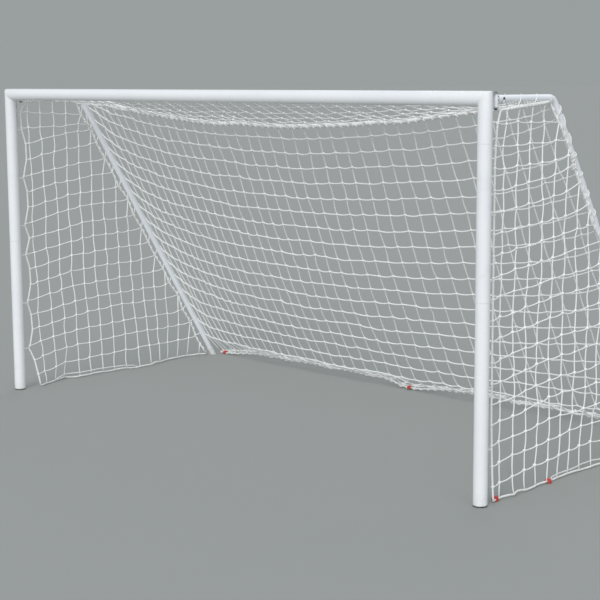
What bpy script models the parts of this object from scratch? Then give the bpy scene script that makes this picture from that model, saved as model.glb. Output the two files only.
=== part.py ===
"""Portable soccer goal for a mouth of 12 ft by 6 ft.

A white tube frame with mitred corners stands on two posts. Behind each post a side frame
of thinner tube, a short top bar and a slanting stay, turns on a hinge pin, so that both
sides fold in against the goal mouth. A net hangs from the frame and is pegged down.

Lengths are in metres. X runs along the crossbar, +Y is behind the goal, +Z is up.
Every shape is worked out with the posts' axes at y = 0. One empty carries all of it and
puts the middle of the whole footprint at the world's origin.
"""
import math

import bmesh
import bpy
from mathutils import Matrix, Vector

# Overall sizes
GOAL_WIDTH = 3.658          # clear width between the posts
GOAL_HEIGHT = 1.829         # clear height under the crossbar
TOP_DEPTH = 0.510           # from the posts' axes back to the bend behind the top bar
GROUND_DEPTH = 1.630        # from the posts' axes back to the foot of the stay

# Front frame
TUBE_DIAMETER = 0.068
TUBE_WALL = 0.0025
CORNER_LEG = 0.200          # each leg of a corner, from the corner point
SPIGOT_LENGTH = 0.080       # how far a reduced end goes into the next tube
SPIGOT_WALL = 0.003
CROSSBAR_SECTIONS = 4
FOOT_PLATE = 0.006          # the part of a post's foot plug that shows
FOOT_PLUG_LENGTH = 0.030

# Side frames
STAY_DIAMETER = 0.032
STAY_WALL = 0.002
STAY_BEND_RADIUS = 0.060
STAY_BEND_LEG = 0.030       # straight tube on either side of the bend
STAY_BEND_STEPS = 4
STAY_SPIGOT_LENGTH = 0.050
FOOT_CAP_WALL = 0.003
FOOT_CAP_LENGTH = 0.045
FOOT_CAP_BASE = 0.008       # material between the tube's end and the ground

# Hinges
FOLD_SETBACK = 0.041        # from a post's back to the hinge pin's axis
HINGE_PIN_DIAMETER = 0.010
HINGE_PIN_HEAD = 0.004
HINGE_SLEEVE_WALL = 0.0055
EAR_SPACING = 0.060         # between the bracket's two ears
EAR_THICKNESS = 0.005
EAR_REACH = 0.013           # from the pin's axis to the end of an ear
BRACKET_THICKNESS = 0.004
BRACKET_WIDTH = 0.024
BRACKET_DROP = 0.198        # from the crossbar's axis down to the bracket's end
HINGE_NUT_HEIGHT = 0.006
HINGE_NUT_DIAMETER = 0.016
BAR_BOLT_DIAMETER = 0.006
BAR_BOLT_HEAD = 0.011
BAR_BOLT_PLACE = 0.040      # from the hinge pin's axis back to the bolt

# Net, with its strands spaced about twice as wide as the real net's
STRAND = 0.005
BACK_COLUMNS = 18
BACK_ROWS = 9
SIDE_COLUMNS = 5
SIDE_ROWS = 10
TOP_ROWS = 2
NET_SAG = 0.140             # how far the top of the back net hangs down in the middle
SAG_FADE = 3                # the sag lasts down the back net, and fades by this power to the hem
HEM_HEIGHT = 0.010          # the bottom cord's centre above the ground
HEM_SPREAD = 0.070          # how far behind the stays' feet the back hem is pegged
BACK_NET_START = 0.020      # from the corner point down the stay to the back net's first cord
PANEL_GAP = 0.003           # between the top net's last cord and the back net's first
HINGE_NET_GAP = 0.0075      # between a hinge's ears and the top cord of the side net

# Net clips on the posts
CLIP_PITCH = 0.300
CLIPS_PER_SECTION = 3
CLIP_FROM_JOINT = 0.093     # from the joint between two post sections to the next clip
CLIP_HEIGHT = 0.010
CLIP_BASE_WIDTH = 0.016
CLIP_NECK_WIDTH = 0.006
CLIP_WALL = 0.003
CLIP_MOUTH = math.radians(70)
CLIP_LIP_STEPS = 3
CLIP_SEAT_STEPS = 7
KNOT_CLEARANCE = 0.012      # least distance from a clip's middle to a row of the net

# Ground pegs, with their places along the hems counted in net cells
PEG_DIAMETER = 0.012
PEG_TIP_HEIGHT = 0.004      # the short end of a peg's hook above the ground
PEG_HOOK_STEPS = 6
RIGHT_PEG_CELLS = {"front": 0.12, "middle": 1.50}
BACK_PEG_CELLS = {"left": 0.25, "middle": 8.75, "right": BACK_COLUMNS - 0.25}

GAP = 0.0003                # between pieces that touch
TUBE_SIDES = 20
STAY_SIDES = 12
SMALL_SIDES = 12
PEG_SIDES = 8
EDGE_ANGLE = math.radians(35)

# Places in the front frame
TUBE_RADIUS = TUBE_DIAMETER / 2
BAR_Z = GOAL_HEIGHT + TUBE_RADIUS
POST_X = GOAL_WIDTH / 2 + TUBE_RADIUS
POST_JOINT_Z = (BAR_Z + TUBE_RADIUS) / 2
TUBE_BORE = TUBE_RADIUS - TUBE_WALL
SPIGOT_RADIUS = TUBE_BORE - GAP

# Places in the hinges
FOLD_Y = TUBE_RADIUS + FOLD_SETBACK
STAY_RADIUS = STAY_DIAMETER / 2
PIN_RADIUS = HINGE_PIN_DIAMETER / 2
SLEEVE_RADIUS = PIN_RADIUS + GAP + HINGE_SLEEVE_WALL
EAR_TOP_Z = BAR_Z + STAY_RADIUS + EAR_THICKNESS
EAR_LOW_Z = EAR_TOP_Z - EAR_SPACING
EAR_CORNER = math.hypot(EAR_REACH, BRACKET_WIDTH / 2)
BRACKET_TOP_Z = EAR_TOP_Z + EAR_THICKNESS
BRACKET_LOW_Z = BAR_Z - BRACKET_DROP

# The stay's line, from the corner point behind the top bar to the ground
STAY_BORE = STAY_RADIUS - STAY_WALL
STAY_SPIGOT_RADIUS = STAY_BORE - GAP
CAP_RADIUS = STAY_RADIUS + GAP + FOOT_CAP_WALL
STAY_TOP = Vector((0, TOP_DEPTH, BAR_Z))
STAY_RUN = Vector((0, GROUND_DEPTH - TOP_DEPTH, -BAR_Z))
STAY_ALONG = STAY_RUN.normalized()
STAY_OUT = Vector((0, -STAY_ALONG.z, STAY_ALONG.y))
STAY_SLOPE = math.acos(STAY_ALONG.y)
BEND_TANGENT = STAY_BEND_RADIUS * math.tan(STAY_SLOPE / 2)
BEND_CENTRE = STAY_TOP - Vector((0, BEND_TANGENT, STAY_BEND_RADIUS))
BEND_REACH = BEND_TANGENT + STAY_BEND_LEG
STAY_END = STAY_RUN.length - STAY_RADIUS / math.tan(STAY_SLOPE) - FOOT_CAP_BASE

# Places in the net
NET_OFFSET = STAY_RADIUS + 2 * GAP + STRAND / 2
HEM_Y = GROUND_DEPTH + HEM_SPREAD
STRAND_REACH = STRAND * math.sqrt(0.5)
PEG_RADIUS = PEG_DIAMETER / 2
HOOK_RADIUS = STRAND_REACH + GAP + PEG_RADIUS
REAR_Y = HEM_Y + HOOK_RADIUS + PEG_RADIUS

SIDES = {"left": -1, "right": 1}
X_AXIS = Vector((1, 0, 0))
Y_AXIS = Vector((0, 1, 0))
Z_AXIS = Vector((0, 0, 1))


# Scene and materials
def clear_scene():
    for thing in list(bpy.data.objects):
        bpy.data.objects.remove(thing, do_unlink=True)


def finish(name, colour, roughness, metallic=0.0):
    material = bpy.data.materials.new(name)
    material.use_nodes = True
    shader = material.node_tree.nodes["Principled BSDF"]
    shader.inputs["Base Color"].default_value = (*colour, 1.0)
    shader.inputs["Roughness"].default_value = roughness
    shader.inputs["Metallic"].default_value = metallic
    material.diffuse_color = (*colour, 1.0)
    return material


def add_empty(name, place, parent=None):
    made = bpy.data.objects.new(name, None)
    made.empty_display_size = 0.2
    made.location = place
    made.parent = parent
    bpy.context.scene.collection.objects.link(made)
    return made


def add_object(name, mesh, material, origin, parent):
    """Makes an object whose mesh is given in the goal's frame and whose origin is `origin`.

    `parent` is the goal's empty or a fold's empty, which itself hangs on the goal's.
    """
    made = bpy.data.objects.new(name, mesh)
    mesh.name = name
    mesh.transform(Matrix.Translation(-origin))
    mesh.materials.append(material)
    mesh.shade_smooth()
    mesh.set_sharp_from_angle(angle=EDGE_ANGLE)
    made.parent = parent
    made.location = origin - parent.location if parent.parent else origin
    bpy.context.scene.collection.objects.link(made)
    return made


# Shapes
def finish_mesh(shape):
    bmesh.ops.recalc_face_normals(shape, faces=shape.faces)
    mesh = bpy.data.meshes.new("shape")
    shape.to_mesh(mesh)
    shape.free()
    return mesh


def frame_at(point, along, across, stretch=1.0):
    """A ring's place, square to `along`, and stretched at right angles to `across`."""
    turn = Matrix((across, along.cross(across), along)).transposed().to_4x4()
    return Matrix.Translation(point) @ turn @ Matrix.Diagonal((1, stretch, 1, 1))


def edges_between(verts):
    inside = set(verts)
    return [edge for edge in {edge for vert in verts for edge in vert.link_edges}
            if inside.issuperset(edge.verts)]


def add_skin(shape, stations, sides):
    """Extrudes a ring from each (frame, radius) station to the next, and returns the end rings."""
    places = [frame @ Matrix.Diagonal((radius, radius, radius, 1)) for frame, radius in stations]
    made = bmesh.ops.create_circle(shape, segments=sides, radius=1.0, matrix=places[0])
    first = ring = edges_between(made["verts"])
    for place, following in zip(places, places[1:]):
        grown = bmesh.ops.extrude_edge_only(shape, edges=ring)["geom"]
        verts = [item for item in grown if isinstance(item, bmesh.types.BMVert)]
        bmesh.ops.transform(shape, matrix=following @ place.inverted(), verts=verts)
        ring = edges_between(verts)
    return first, ring


def pipe_mesh(outer, inner, sides):
    """A tube that is open at both ends: its skin runs along the outside and back inside."""
    shape = bmesh.new()
    add_skin(shape, [*outer, *reversed(inner), outer[0]], sides)
    bmesh.ops.remove_doubles(shape, verts=shape.verts, dist=GAP / 10)
    return finish_mesh(shape)


def bar_mesh(stations, sides):
    """A solid of round section, closed at both ends."""
    shape = bmesh.new()
    for end in add_skin(shape, stations, sides):
        bmesh.ops.contextual_create(shape, geom=end)
    return finish_mesh(shape)


def straight_pipe(start, end, across, radius, bore, sides):
    along = (end - start).normalized()
    frames = [frame_at(point, along, across) for point in (start, end)]
    outer = [(frame, radius) for frame in frames]
    inner = [(frame, bore) for frame in frames]
    return pipe_mesh(outer, inner, sides)


def stepped_bar(base, along, across, steps, sides):
    """A turned solid, from the (distance, radius) steps of its profile along one axis."""
    stations = [(frame_at(base + along * distance, along, across), radius) for distance, radius in steps]
    return bar_mesh(stations, sides)


def plate_mesh(outline, thickness):
    """A flat outline, made `thickness` thick, half of it to each side."""
    shape = bmesh.new()
    face = shape.faces.new([shape.verts.new(point) for point in outline])
    face.normal_update()
    shift = face.normal * thickness
    bmesh.ops.translate(shape, verts=shape.verts, vec=-shift / 2)
    grown = bmesh.ops.extrude_face_region(shape, geom=[face])["geom"]
    moved = [item for item in grown if isinstance(item, bmesh.types.BMVert)]
    bmesh.ops.translate(shape, verts=moved, vec=shift)
    return finish_mesh(shape)


def combine(target, guide, operation):
    """A Boolean left on the object. The guide isn't part of the goal."""
    guide.hide_render = True
    guide.display_type = "WIRE"
    step = target.modifiers.new(guide.name, "BOOLEAN")
    step.operation = operation
    step.solver = "EXACT"
    step.object = guide


# Front frame
def corner_mesh(side):
    """Two tube legs, mitred and welded at the corner, each with a reduced end."""
    corner = Vector((side * POST_X, 0, BAR_Z))
    inward = -side * X_AXIS
    mitre = frame_at(corner, (Z_AXIS + inward).normalized(), Y_AXIS, math.sqrt(2))
    tip = CORNER_LEG + SPIGOT_LENGTH

    def on_post(distance):
        return frame_at(corner - Z_AXIS * distance, Z_AXIS, Y_AXIS)

    def on_bar(distance):
        return frame_at(corner + inward * distance, inward, Y_AXIS)

    outer = [
        (on_post(tip), SPIGOT_RADIUS),
        (on_post(CORNER_LEG), SPIGOT_RADIUS),
        (on_post(CORNER_LEG), TUBE_RADIUS),
        (mitre, TUBE_RADIUS),
        (on_bar(CORNER_LEG), TUBE_RADIUS),
        (on_bar(CORNER_LEG), SPIGOT_RADIUS),
        (on_bar(tip), SPIGOT_RADIUS),
    ]
    bore = SPIGOT_RADIUS - SPIGOT_WALL
    inner = [(on_post(tip), bore), (mitre, bore), (on_bar(tip), bore)]
    return pipe_mesh(outer, inner, TUBE_SIDES)


def add_coupler(name, joint, along, across, steel, goal):
    """A short tube inside the two sections that meet at `joint`."""
    half = along * SPIGOT_LENGTH
    bore = SPIGOT_RADIUS - SPIGOT_WALL
    mesh = straight_pipe(joint - half, joint + half, across, SPIGOT_RADIUS, bore, TUBE_SIDES)
    add_object(name, mesh, steel, joint, goal)


def build_crossbar(paint, steel, goal):
    """Equal tube sections between the corners."""
    span = 2 * (POST_X - CORNER_LEG)
    section = span / CROSSBAR_SECTIONS
    for number in range(CROSSBAR_SECTIONS):
        joint = Vector((-span / 2 + number * section, 0, BAR_Z))
        start = joint + X_AXIS * GAP
        end = joint + X_AXIS * (section - GAP)
        mesh = straight_pipe(start, end, Y_AXIS, TUBE_RADIUS, TUBE_BORE, TUBE_SIDES)
        add_object(f"crossbar_tube_{number + 1}", mesh, paint, (start + end) / 2, goal)
        if number > 0:
            add_coupler(f"crossbar_coupler_{number}", joint, X_AXIS, Y_AXIS, steel, goal)


def build_post(label, side, paint, steel, plastic, goal):
    foot = Vector((side * POST_X, 0, 0))
    corner = foot + Z_AXIS * BAR_Z
    ends = {
        "lower": (FOOT_PLATE + GAP, POST_JOINT_Z - GAP),
        "upper": (POST_JOINT_Z + GAP, BAR_Z - CORNER_LEG - GAP),
    }
    for part, (low, high) in ends.items():
        start = foot + Z_AXIS * low
        end = foot + Z_AXIS * high
        mesh = straight_pipe(start, end, X_AXIS, TUBE_RADIUS, TUBE_BORE, TUBE_SIDES)
        add_object(f"{label}_post_{part}", mesh, paint, (start + end) / 2, goal)
    add_coupler(f"{label}_post_coupler", foot + Z_AXIS * POST_JOINT_Z, Z_AXIS, X_AXIS, steel, goal)
    add_object(f"{label}_corner", corner_mesh(side), paint, corner, goal)
    steps = (
        (0, TUBE_RADIUS),
        (FOOT_PLATE, TUBE_RADIUS),
        (FOOT_PLATE, SPIGOT_RADIUS),
        (FOOT_PLATE + FOOT_PLUG_LENGTH, SPIGOT_RADIUS),
    )
    mesh = stepped_bar(foot, Z_AXIS, X_AXIS, steps, TUBE_SIDES)
    add_object(f"{label}_post_foot", mesh, plastic, foot, goal)


# Hinges
def build_hinge(label, side, steel, metal, goal):
    """The bracket on the corner's back with its two ears, the pin through them and its nut."""
    axis = Vector((side * POST_X, FOLD_Y, 0))
    back = TUBE_RADIUS + GAP
    front = back + BRACKET_THICKNESS
    reach = FOLD_Y + EAR_REACH
    profile = (
        (back, BRACKET_LOW_Z),
        (front, BRACKET_LOW_Z),
        (front, EAR_LOW_Z - EAR_THICKNESS),
        (reach, EAR_LOW_Z - EAR_THICKNESS),
        (reach, EAR_LOW_Z),
        (front, EAR_LOW_Z),
        (front, EAR_TOP_Z),
        (reach, EAR_TOP_Z),
        (reach, BRACKET_TOP_Z),
        (back, BRACKET_TOP_Z),
    )
    outline = [Vector((side * POST_X, y, z)) for y, z in profile]
    middle = axis + Z_AXIS * BAR_Z
    bracket = add_object(f"{label}_hinge_bracket", plate_mesh(outline, BRACKET_WIDTH), steel, middle, goal)
    cut = ((BRACKET_LOW_Z, PIN_RADIUS + GAP), (BRACKET_TOP_Z + EAR_THICKNESS, PIN_RADIUS + GAP))
    mesh = stepped_bar(axis, Z_AXIS, X_AXIS, cut, SMALL_SIDES)
    combine(bracket, add_object(f"{label}_ear_hole", mesh, steel, middle, goal), "DIFFERENCE")

    nut_top = EAR_LOW_Z - EAR_THICKNESS - GAP
    nut_low = nut_top - HINGE_NUT_HEIGHT
    head_low = BRACKET_TOP_Z + GAP
    steps = (
        (nut_low, PIN_RADIUS),
        (head_low, PIN_RADIUS),
        (head_low, HINGE_NUT_DIAMETER / 2),
        (head_low + HINGE_PIN_HEAD, HINGE_NUT_DIAMETER / 2),
    )
    mesh = stepped_bar(axis, Z_AXIS, X_AXIS, steps, SMALL_SIDES)
    add_object(f"{label}_hinge_pin", mesh, metal, middle, goal)
    mesh = straight_pipe(
        axis + Z_AXIS * nut_low, axis + Z_AXIS * nut_top, X_AXIS,
        HINGE_NUT_DIAMETER / 2, PIN_RADIUS + GAP, SMALL_SIDES)
    add_object(f"{label}_hinge_nut", mesh, metal, axis + Z_AXIS * nut_low, goal)


def build_sleeve(label, side, paint, fold):
    """The sleeve that turns on the pin, with the stub that the top bar slides over."""
    axis = Vector((side * POST_X, FOLD_Y, 0))
    middle = axis + Z_AXIS * BAR_Z
    body = ((EAR_LOW_Z + GAP, SLEEVE_RADIUS), (EAR_TOP_Z - GAP, SLEEVE_RADIUS))
    mesh = stepped_bar(axis, Z_AXIS, X_AXIS, body, STAY_SIDES)
    sleeve = add_object(f"{label}_hinge_sleeve", mesh, paint, middle, fold)
    length = BAR_BOLT_PLACE + STAY_DIAMETER
    mesh = stepped_bar(
        middle, Y_AXIS, X_AXIS, ((0, STAY_SPIGOT_RADIUS), (length, STAY_SPIGOT_RADIUS)), STAY_SIDES)
    combine(sleeve, add_object(f"{label}_sleeve_stub", mesh, paint, middle, fold), "UNION")
    cut = ((EAR_LOW_Z - GAP, PIN_RADIUS + GAP), (EAR_TOP_Z + GAP, PIN_RADIUS + GAP))
    mesh = stepped_bar(axis, Z_AXIS, X_AXIS, cut, SMALL_SIDES)
    combine(sleeve, add_object(f"{label}_sleeve_bore", mesh, paint, middle, fold), "DIFFERENCE")
    return sleeve


def build_bar_bolt(label, side, metal, fold, drilled):
    """The bolt across the top bar's front end, and its hole through the drilled pieces."""
    place = Vector((side * POST_X, FOLD_Y + BAR_BOLT_PLACE, BAR_Z))
    outward = side * X_AXIS
    hole_radius = BAR_BOLT_DIAMETER / 2 + GAP
    cut = ((-STAY_DIAMETER, hole_radius), (STAY_DIAMETER, hole_radius))
    mesh = stepped_bar(place, outward, Z_AXIS, cut, SMALL_SIDES)
    hole = add_object(f"{label}_bolt_hole", mesh, metal, place, fold)
    for piece in drilled:
        combine(piece, hole, "DIFFERENCE")
    head_low = STAY_RADIUS + GAP
    steps = (
        (-STAY_BORE, BAR_BOLT_DIAMETER / 2),
        (head_low, BAR_BOLT_DIAMETER / 2),
        (head_low, BAR_BOLT_HEAD / 2),
        (head_low + BAR_BOLT_DIAMETER / 2, BAR_BOLT_HEAD / 2),
    )
    mesh = stepped_bar(place, outward, Z_AXIS, steps, SMALL_SIDES)
    add_object(f"{label}_bar_bolt", mesh, metal, place, fold)


# Side frames
def elbow_mesh(side):
    """The bent connector, with a reduced end for the top bar and one for the stay."""
    plane = X_AXIS * side * POST_X
    tip = BEND_REACH + STAY_SPIGOT_LENGTH

    def before(distance):
        return frame_at(plane + STAY_TOP - Y_AXIS * distance, Y_AXIS, X_AXIS)

    def after(distance):
        return frame_at(plane + STAY_TOP + STAY_ALONG * distance, STAY_ALONG, X_AXIS)

    bend = []
    for step in range(STAY_BEND_STEPS + 1):
        turn = STAY_SLOPE * step / STAY_BEND_STEPS
        along = Vector((0, math.cos(turn), -math.sin(turn)))
        outward = Vector((0, math.sin(turn), math.cos(turn)))
        bend.append(frame_at(plane + BEND_CENTRE + outward * STAY_BEND_RADIUS, along, X_AXIS))
    outer = [
        (before(tip), STAY_SPIGOT_RADIUS),
        (before(BEND_REACH), STAY_SPIGOT_RADIUS),
        (before(BEND_REACH), STAY_RADIUS),
        *((frame, STAY_RADIUS) for frame in bend),
        (after(BEND_REACH), STAY_RADIUS),
        (after(BEND_REACH), STAY_SPIGOT_RADIUS),
        (after(tip), STAY_SPIGOT_RADIUS),
    ]
    bore = STAY_SPIGOT_RADIUS - STAY_WALL
    inner = [(before(tip), bore), *((frame, bore) for frame in bend), (after(tip), bore)]
    return pipe_mesh(outer, inner, STAY_SIDES)


def foot_cap_mesh(side):
    """A cap over the stay's end, cut flat where it stands on the ground."""
    end = X_AXIS * side * POST_X + STAY_TOP + STAY_ALONG * STAY_END
    ground = X_AXIS * side * POST_X + STAY_TOP + STAY_RUN

    def station(point, radius):
        return frame_at(point, STAY_ALONG, X_AXIS), radius

    shape = bmesh.new()
    mouth = end - STAY_ALONG * FOOT_CAP_LENGTH
    socket = STAY_RADIUS + GAP
    stations = [
        station(ground + STAY_ALONG * 2 * CAP_RADIUS, CAP_RADIUS),
        station(mouth, CAP_RADIUS),
        station(mouth, socket),
        station(end + STAY_ALONG * GAP, socket),
    ]
    for rim in add_skin(shape, stations, STAY_SIDES):
        bmesh.ops.contextual_create(shape, geom=rim)
    cut = bmesh.ops.bisect_plane(
        shape, geom=[*shape.verts, *shape.edges, *shape.faces], plane_co=ground, plane_no=Z_AXIS,
        clear_inner=True)
    rim = [item for item in cut["geom_cut"] if isinstance(item, bmesh.types.BMEdge)]
    bmesh.ops.contextual_create(shape, geom=rim)
    return finish_mesh(shape)


def build_side_frame(label, side, paint, metal, plastic, fold):
    plane = X_AXIS * side * POST_X
    hinge = plane + Y_AXIS * FOLD_Y + Z_AXIS * BAR_Z
    corner = plane + STAY_TOP
    start = hinge + Y_AXIS * (SLEEVE_RADIUS + GAP)
    end = corner - Y_AXIS * (BEND_REACH + GAP)
    mesh = straight_pipe(start, end, X_AXIS, STAY_RADIUS, STAY_BORE, STAY_SIDES)
    top_bar = add_object(f"{label}_top_bar", mesh, paint, hinge, fold)
    sleeve = build_sleeve(label, side, paint, fold)
    build_bar_bolt(label, side, metal, fold, (top_bar, sleeve))
    add_object(f"{label}_rear_elbow", elbow_mesh(side), paint, corner, fold)

    first = BEND_REACH + GAP
    joint = (first + STAY_END) / 2
    for part, near, far in (("upper", first, joint - GAP), ("lower", joint + GAP, STAY_END)):
        start = corner + STAY_ALONG * near
        end = corner + STAY_ALONG * far
        mesh = straight_pipe(start, end, X_AXIS, STAY_RADIUS, STAY_BORE, STAY_SIDES)
        add_object(f"{label}_stay_{part}", mesh, paint, (start + end) / 2, fold)
    meeting = corner + STAY_ALONG * joint
    half = STAY_ALONG * STAY_SPIGOT_LENGTH
    bore = STAY_SPIGOT_RADIUS - STAY_WALL
    mesh = straight_pipe(meeting - half, meeting + half, X_AXIS, STAY_SPIGOT_RADIUS, bore, STAY_SIDES)
    add_object(f"{label}_stay_coupler", mesh, metal, meeting, fold)
    add_object(f"{label}_stay_foot", foot_cap_mesh(side), plastic, corner + STAY_RUN, fold)


# Net
def net_mesh(columns, rows, place):
    """A panel of net with a crossing at each place(column, row).

    The grid has two lines for every strand, half a strand to each side of its middle. The
    cells between strands are taken out, which leaves columns x rows gaps.
    """
    shape = bmesh.new()
    across, down = 2 * columns + 1, 2 * rows + 1
    bmesh.ops.create_grid(shape, x_segments=across, y_segments=down, size=0.5)
    gaps = []
    for face in shape.faces:
        middle = face.calc_center_median()
        line_across = math.floor((middle.x + 0.5) * across)
        line_down = math.floor((0.5 - middle.y) * down)
        if line_across % 2 and line_down % 2:
            gaps.append(face)
    for vert in shape.verts:
        column, right = divmod(round((vert.co.x + 0.5) * across), 2)
        row, below = divmod(round((0.5 - vert.co.y) * down), 2)
        run = place(min(column + 1, columns), row) - place(max(column - 1, 0), row)
        drop = place(column, min(row + 1, rows)) - place(column, max(row - 1, 0))
        step_across = run.normalized() * (right - 0.5) * STRAND
        step_down = drop.normalized() * (below - 0.5) * STRAND
        vert.co = place(column, row) + step_across + step_down
    bmesh.ops.delete(shape, geom=gaps, context="FACES_ONLY")
    return finish_mesh(shape)


def add_net(name, columns, rows, place, origin, twine, parent):
    net = add_object(name, net_mesh(columns, rows, place), twine, origin, parent)
    strand = net.modifiers.new("strand", "SOLIDIFY")
    strand.thickness = STRAND
    strand.offset = 0.0
    strand.use_even_offset = True


def hanging(across):
    """The share of the full sag at a place from -1 to 1 between the two side frames."""
    return 1 - across ** 2


def back_place(column, row):
    """The back net lies on the stays' back faces, and its last row lies on the ground."""
    across = 2 * column / BACK_COLUMNS - 1
    distance = BACK_NET_START + (STAY_RUN.length - BACK_NET_START) * row / BACK_ROWS
    edge = STAY_TOP + STAY_ALONG * distance + STAY_OUT * NET_OFFSET
    if row == BACK_ROWS:
        edge = Vector((0, HEM_Y, HEM_HEIGHT))
    drop = NET_SAG * hanging(across) * (1 - (row / BACK_ROWS) ** SAG_FADE)
    return edge + X_AXIS * across * POST_X - Z_AXIS * drop


def top_place(column, row):
    """The top net runs from the crossbar's back to the top of the back net."""
    across = 2 * column / BACK_COLUMNS - 1
    share = row / TOP_ROWS
    front = TUBE_RADIUS + 2 * GAP + STRAND / 2
    rear = back_place(column, 0).y - STRAND - PANEL_GAP
    drop = NET_SAG * hanging(across) * share
    return Vector((across * (POST_X - NET_OFFSET), front + (rear - front) * share, BAR_Z - drop))


def side_row_height(row):
    top = BAR_Z - NET_OFFSET
    return top + (HEM_HEIGHT - top) * row / SIDE_ROWS


def side_front(row):
    """The front edge is on the hinge's axis, but its top corner clears the ears' corners."""
    return FOLD_Y + EAR_CORNER + HINGE_NET_GAP + STRAND / 2 if row == 0 else FOLD_Y


def side_rear(row):
    """The rear edge follows the stay's front face, round the bend above and the cap below."""
    height = side_row_height(row)
    if row == 0:
        half_turn = STAY_SLOPE / 2
        outward = Vector((0, math.sin(half_turn), math.cos(half_turn)))
        return BEND_CENTRE + outward * (STAY_BEND_RADIUS - NET_OFFSET)
    clear = 2 * GAP + (CAP_RADIUS + 2 * GAP if row == SIDE_ROWS else STAY_RADIUS)
    on_axis = TOP_DEPTH + (BAR_Z - height) / math.tan(STAY_SLOPE)
    return Vector((0, on_axis - clear / math.sin(STAY_SLOPE) - STRAND / 2, height))


def side_place(column, row):
    front = Vector((0, side_front(row), side_row_height(row)))
    return front.lerp(side_rear(row), column / SIDE_COLUMNS)


# Net clips and ground pegs
def clip_heights():
    """Heights of a post's clips, each kept clear of the knots and of the hinge bracket."""
    rows = [side_row_height(row) for row in range(1, SIDE_ROWS + 1)]
    highest = min(rows[0], BRACKET_LOW_Z - CLIP_HEIGHT) - KNOT_CLEARANCE
    heights = []
    for number in range(CLIPS_PER_SECTION):
        offset = CLIP_FROM_JOINT + number * CLIP_PITCH
        for wanted in (POST_JOINT_Z - offset, POST_JOINT_Z + offset):
            height = min(wanted, highest)
            nearest = min(rows, key=lambda row: abs(row - height))
            if abs(nearest - height) < KNOT_CLEARANCE:
                height = nearest - KNOT_CLEARANCE
            heights.append(height)
    return sorted(heights)


def arc(centre, radius, start, end, steps):
    """Points round a level arc, from one angle to another."""
    for step in range(steps + 1):
        angle = start + (end - start) * step / steps
        yield centre + Vector((math.cos(angle), math.sin(angle), 0)) * radius


def clip_mesh(side, height):
    """A flat hook, from the post's back to the net's front cord, with its mouth to the rear."""
    post = Vector((side * POST_X, 0, height))
    cord = post + Y_AXIS * FOLD_Y
    inner = STRAND_REACH + 2 * GAP
    outer = inner + CLIP_WALL
    neck = CLIP_NECK_WIDTH / 2
    base = CLIP_BASE_WIDTH / 2
    back = Y_AXIS * (TUBE_RADIUS + GAP)
    front = back + Y_AXIS * CLIP_WALL
    quarter = math.pi / 2
    right_lip = quarter - CLIP_MOUTH / 2
    left_lip = quarter + CLIP_MOUTH / 2
    root = math.asin(neck / outer)
    outline = [post + back - X_AXIS * base, post + back + X_AXIS * base, post + front + X_AXIS * base]
    outline += [post + front + X_AXIS * neck]
    outline += arc(cord, outer, root - quarter, right_lip, CLIP_LIP_STEPS)
    outline += arc(cord, inner, right_lip, left_lip - 4 * quarter, CLIP_SEAT_STEPS)
    outline += arc(cord, outer, left_lip, 3 * quarter - root, CLIP_LIP_STEPS)
    outline += [post + front - X_AXIS * neck, post + front - X_AXIS * base]
    return plate_mesh(outline, CLIP_HEIGHT)


def peg_mesh(place, outward):
    """The hooked head of a peg over a hem at `place`, down to the surface of the ground."""
    across = outward.cross(Z_AXIS)
    centre = Vector((place.x, place.y, HEM_HEIGHT))
    leg = centre + outward * HOOK_RADIUS
    tip = centre - outward * HOOK_RADIUS
    frames = [frame_at(Vector((leg.x, leg.y, 0)), Z_AXIS, across)]
    for step in range(PEG_HOOK_STEPS + 1):
        turn = math.pi * step / PEG_HOOK_STEPS
        radial = outward * math.cos(turn) + Z_AXIS * math.sin(turn)
        along = Z_AXIS * math.cos(turn) - outward * math.sin(turn)
        frames.append(frame_at(centre + radial * HOOK_RADIUS, along, across))
    frames.append(frame_at(Vector((tip.x, tip.y, PEG_TIP_HEIGHT)), -Z_AXIS, across))
    return bar_mesh([(frame, PEG_RADIUS) for frame in frames], PEG_SIDES)


def build_pegs(red, goal, folds):
    for label, cell in RIGHT_PEG_CELLS.items():
        front, rear = side_place(0, SIDE_ROWS), side_place(SIDE_COLUMNS, SIDE_ROWS)
        place = front.lerp(rear, cell / SIDE_COLUMNS) + X_AXIS * POST_X
        add_object(f"side_peg_{label}", peg_mesh(place, X_AXIS), red, place, folds["right"])
    for label, cell in BACK_PEG_CELLS.items():
        place = Vector(((2 * cell / BACK_COLUMNS - 1) * POST_X, HEM_Y, HEM_HEIGHT))
        add_object(f"back_peg_{label}", peg_mesh(place, Y_AXIS), red, place, goal)


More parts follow.
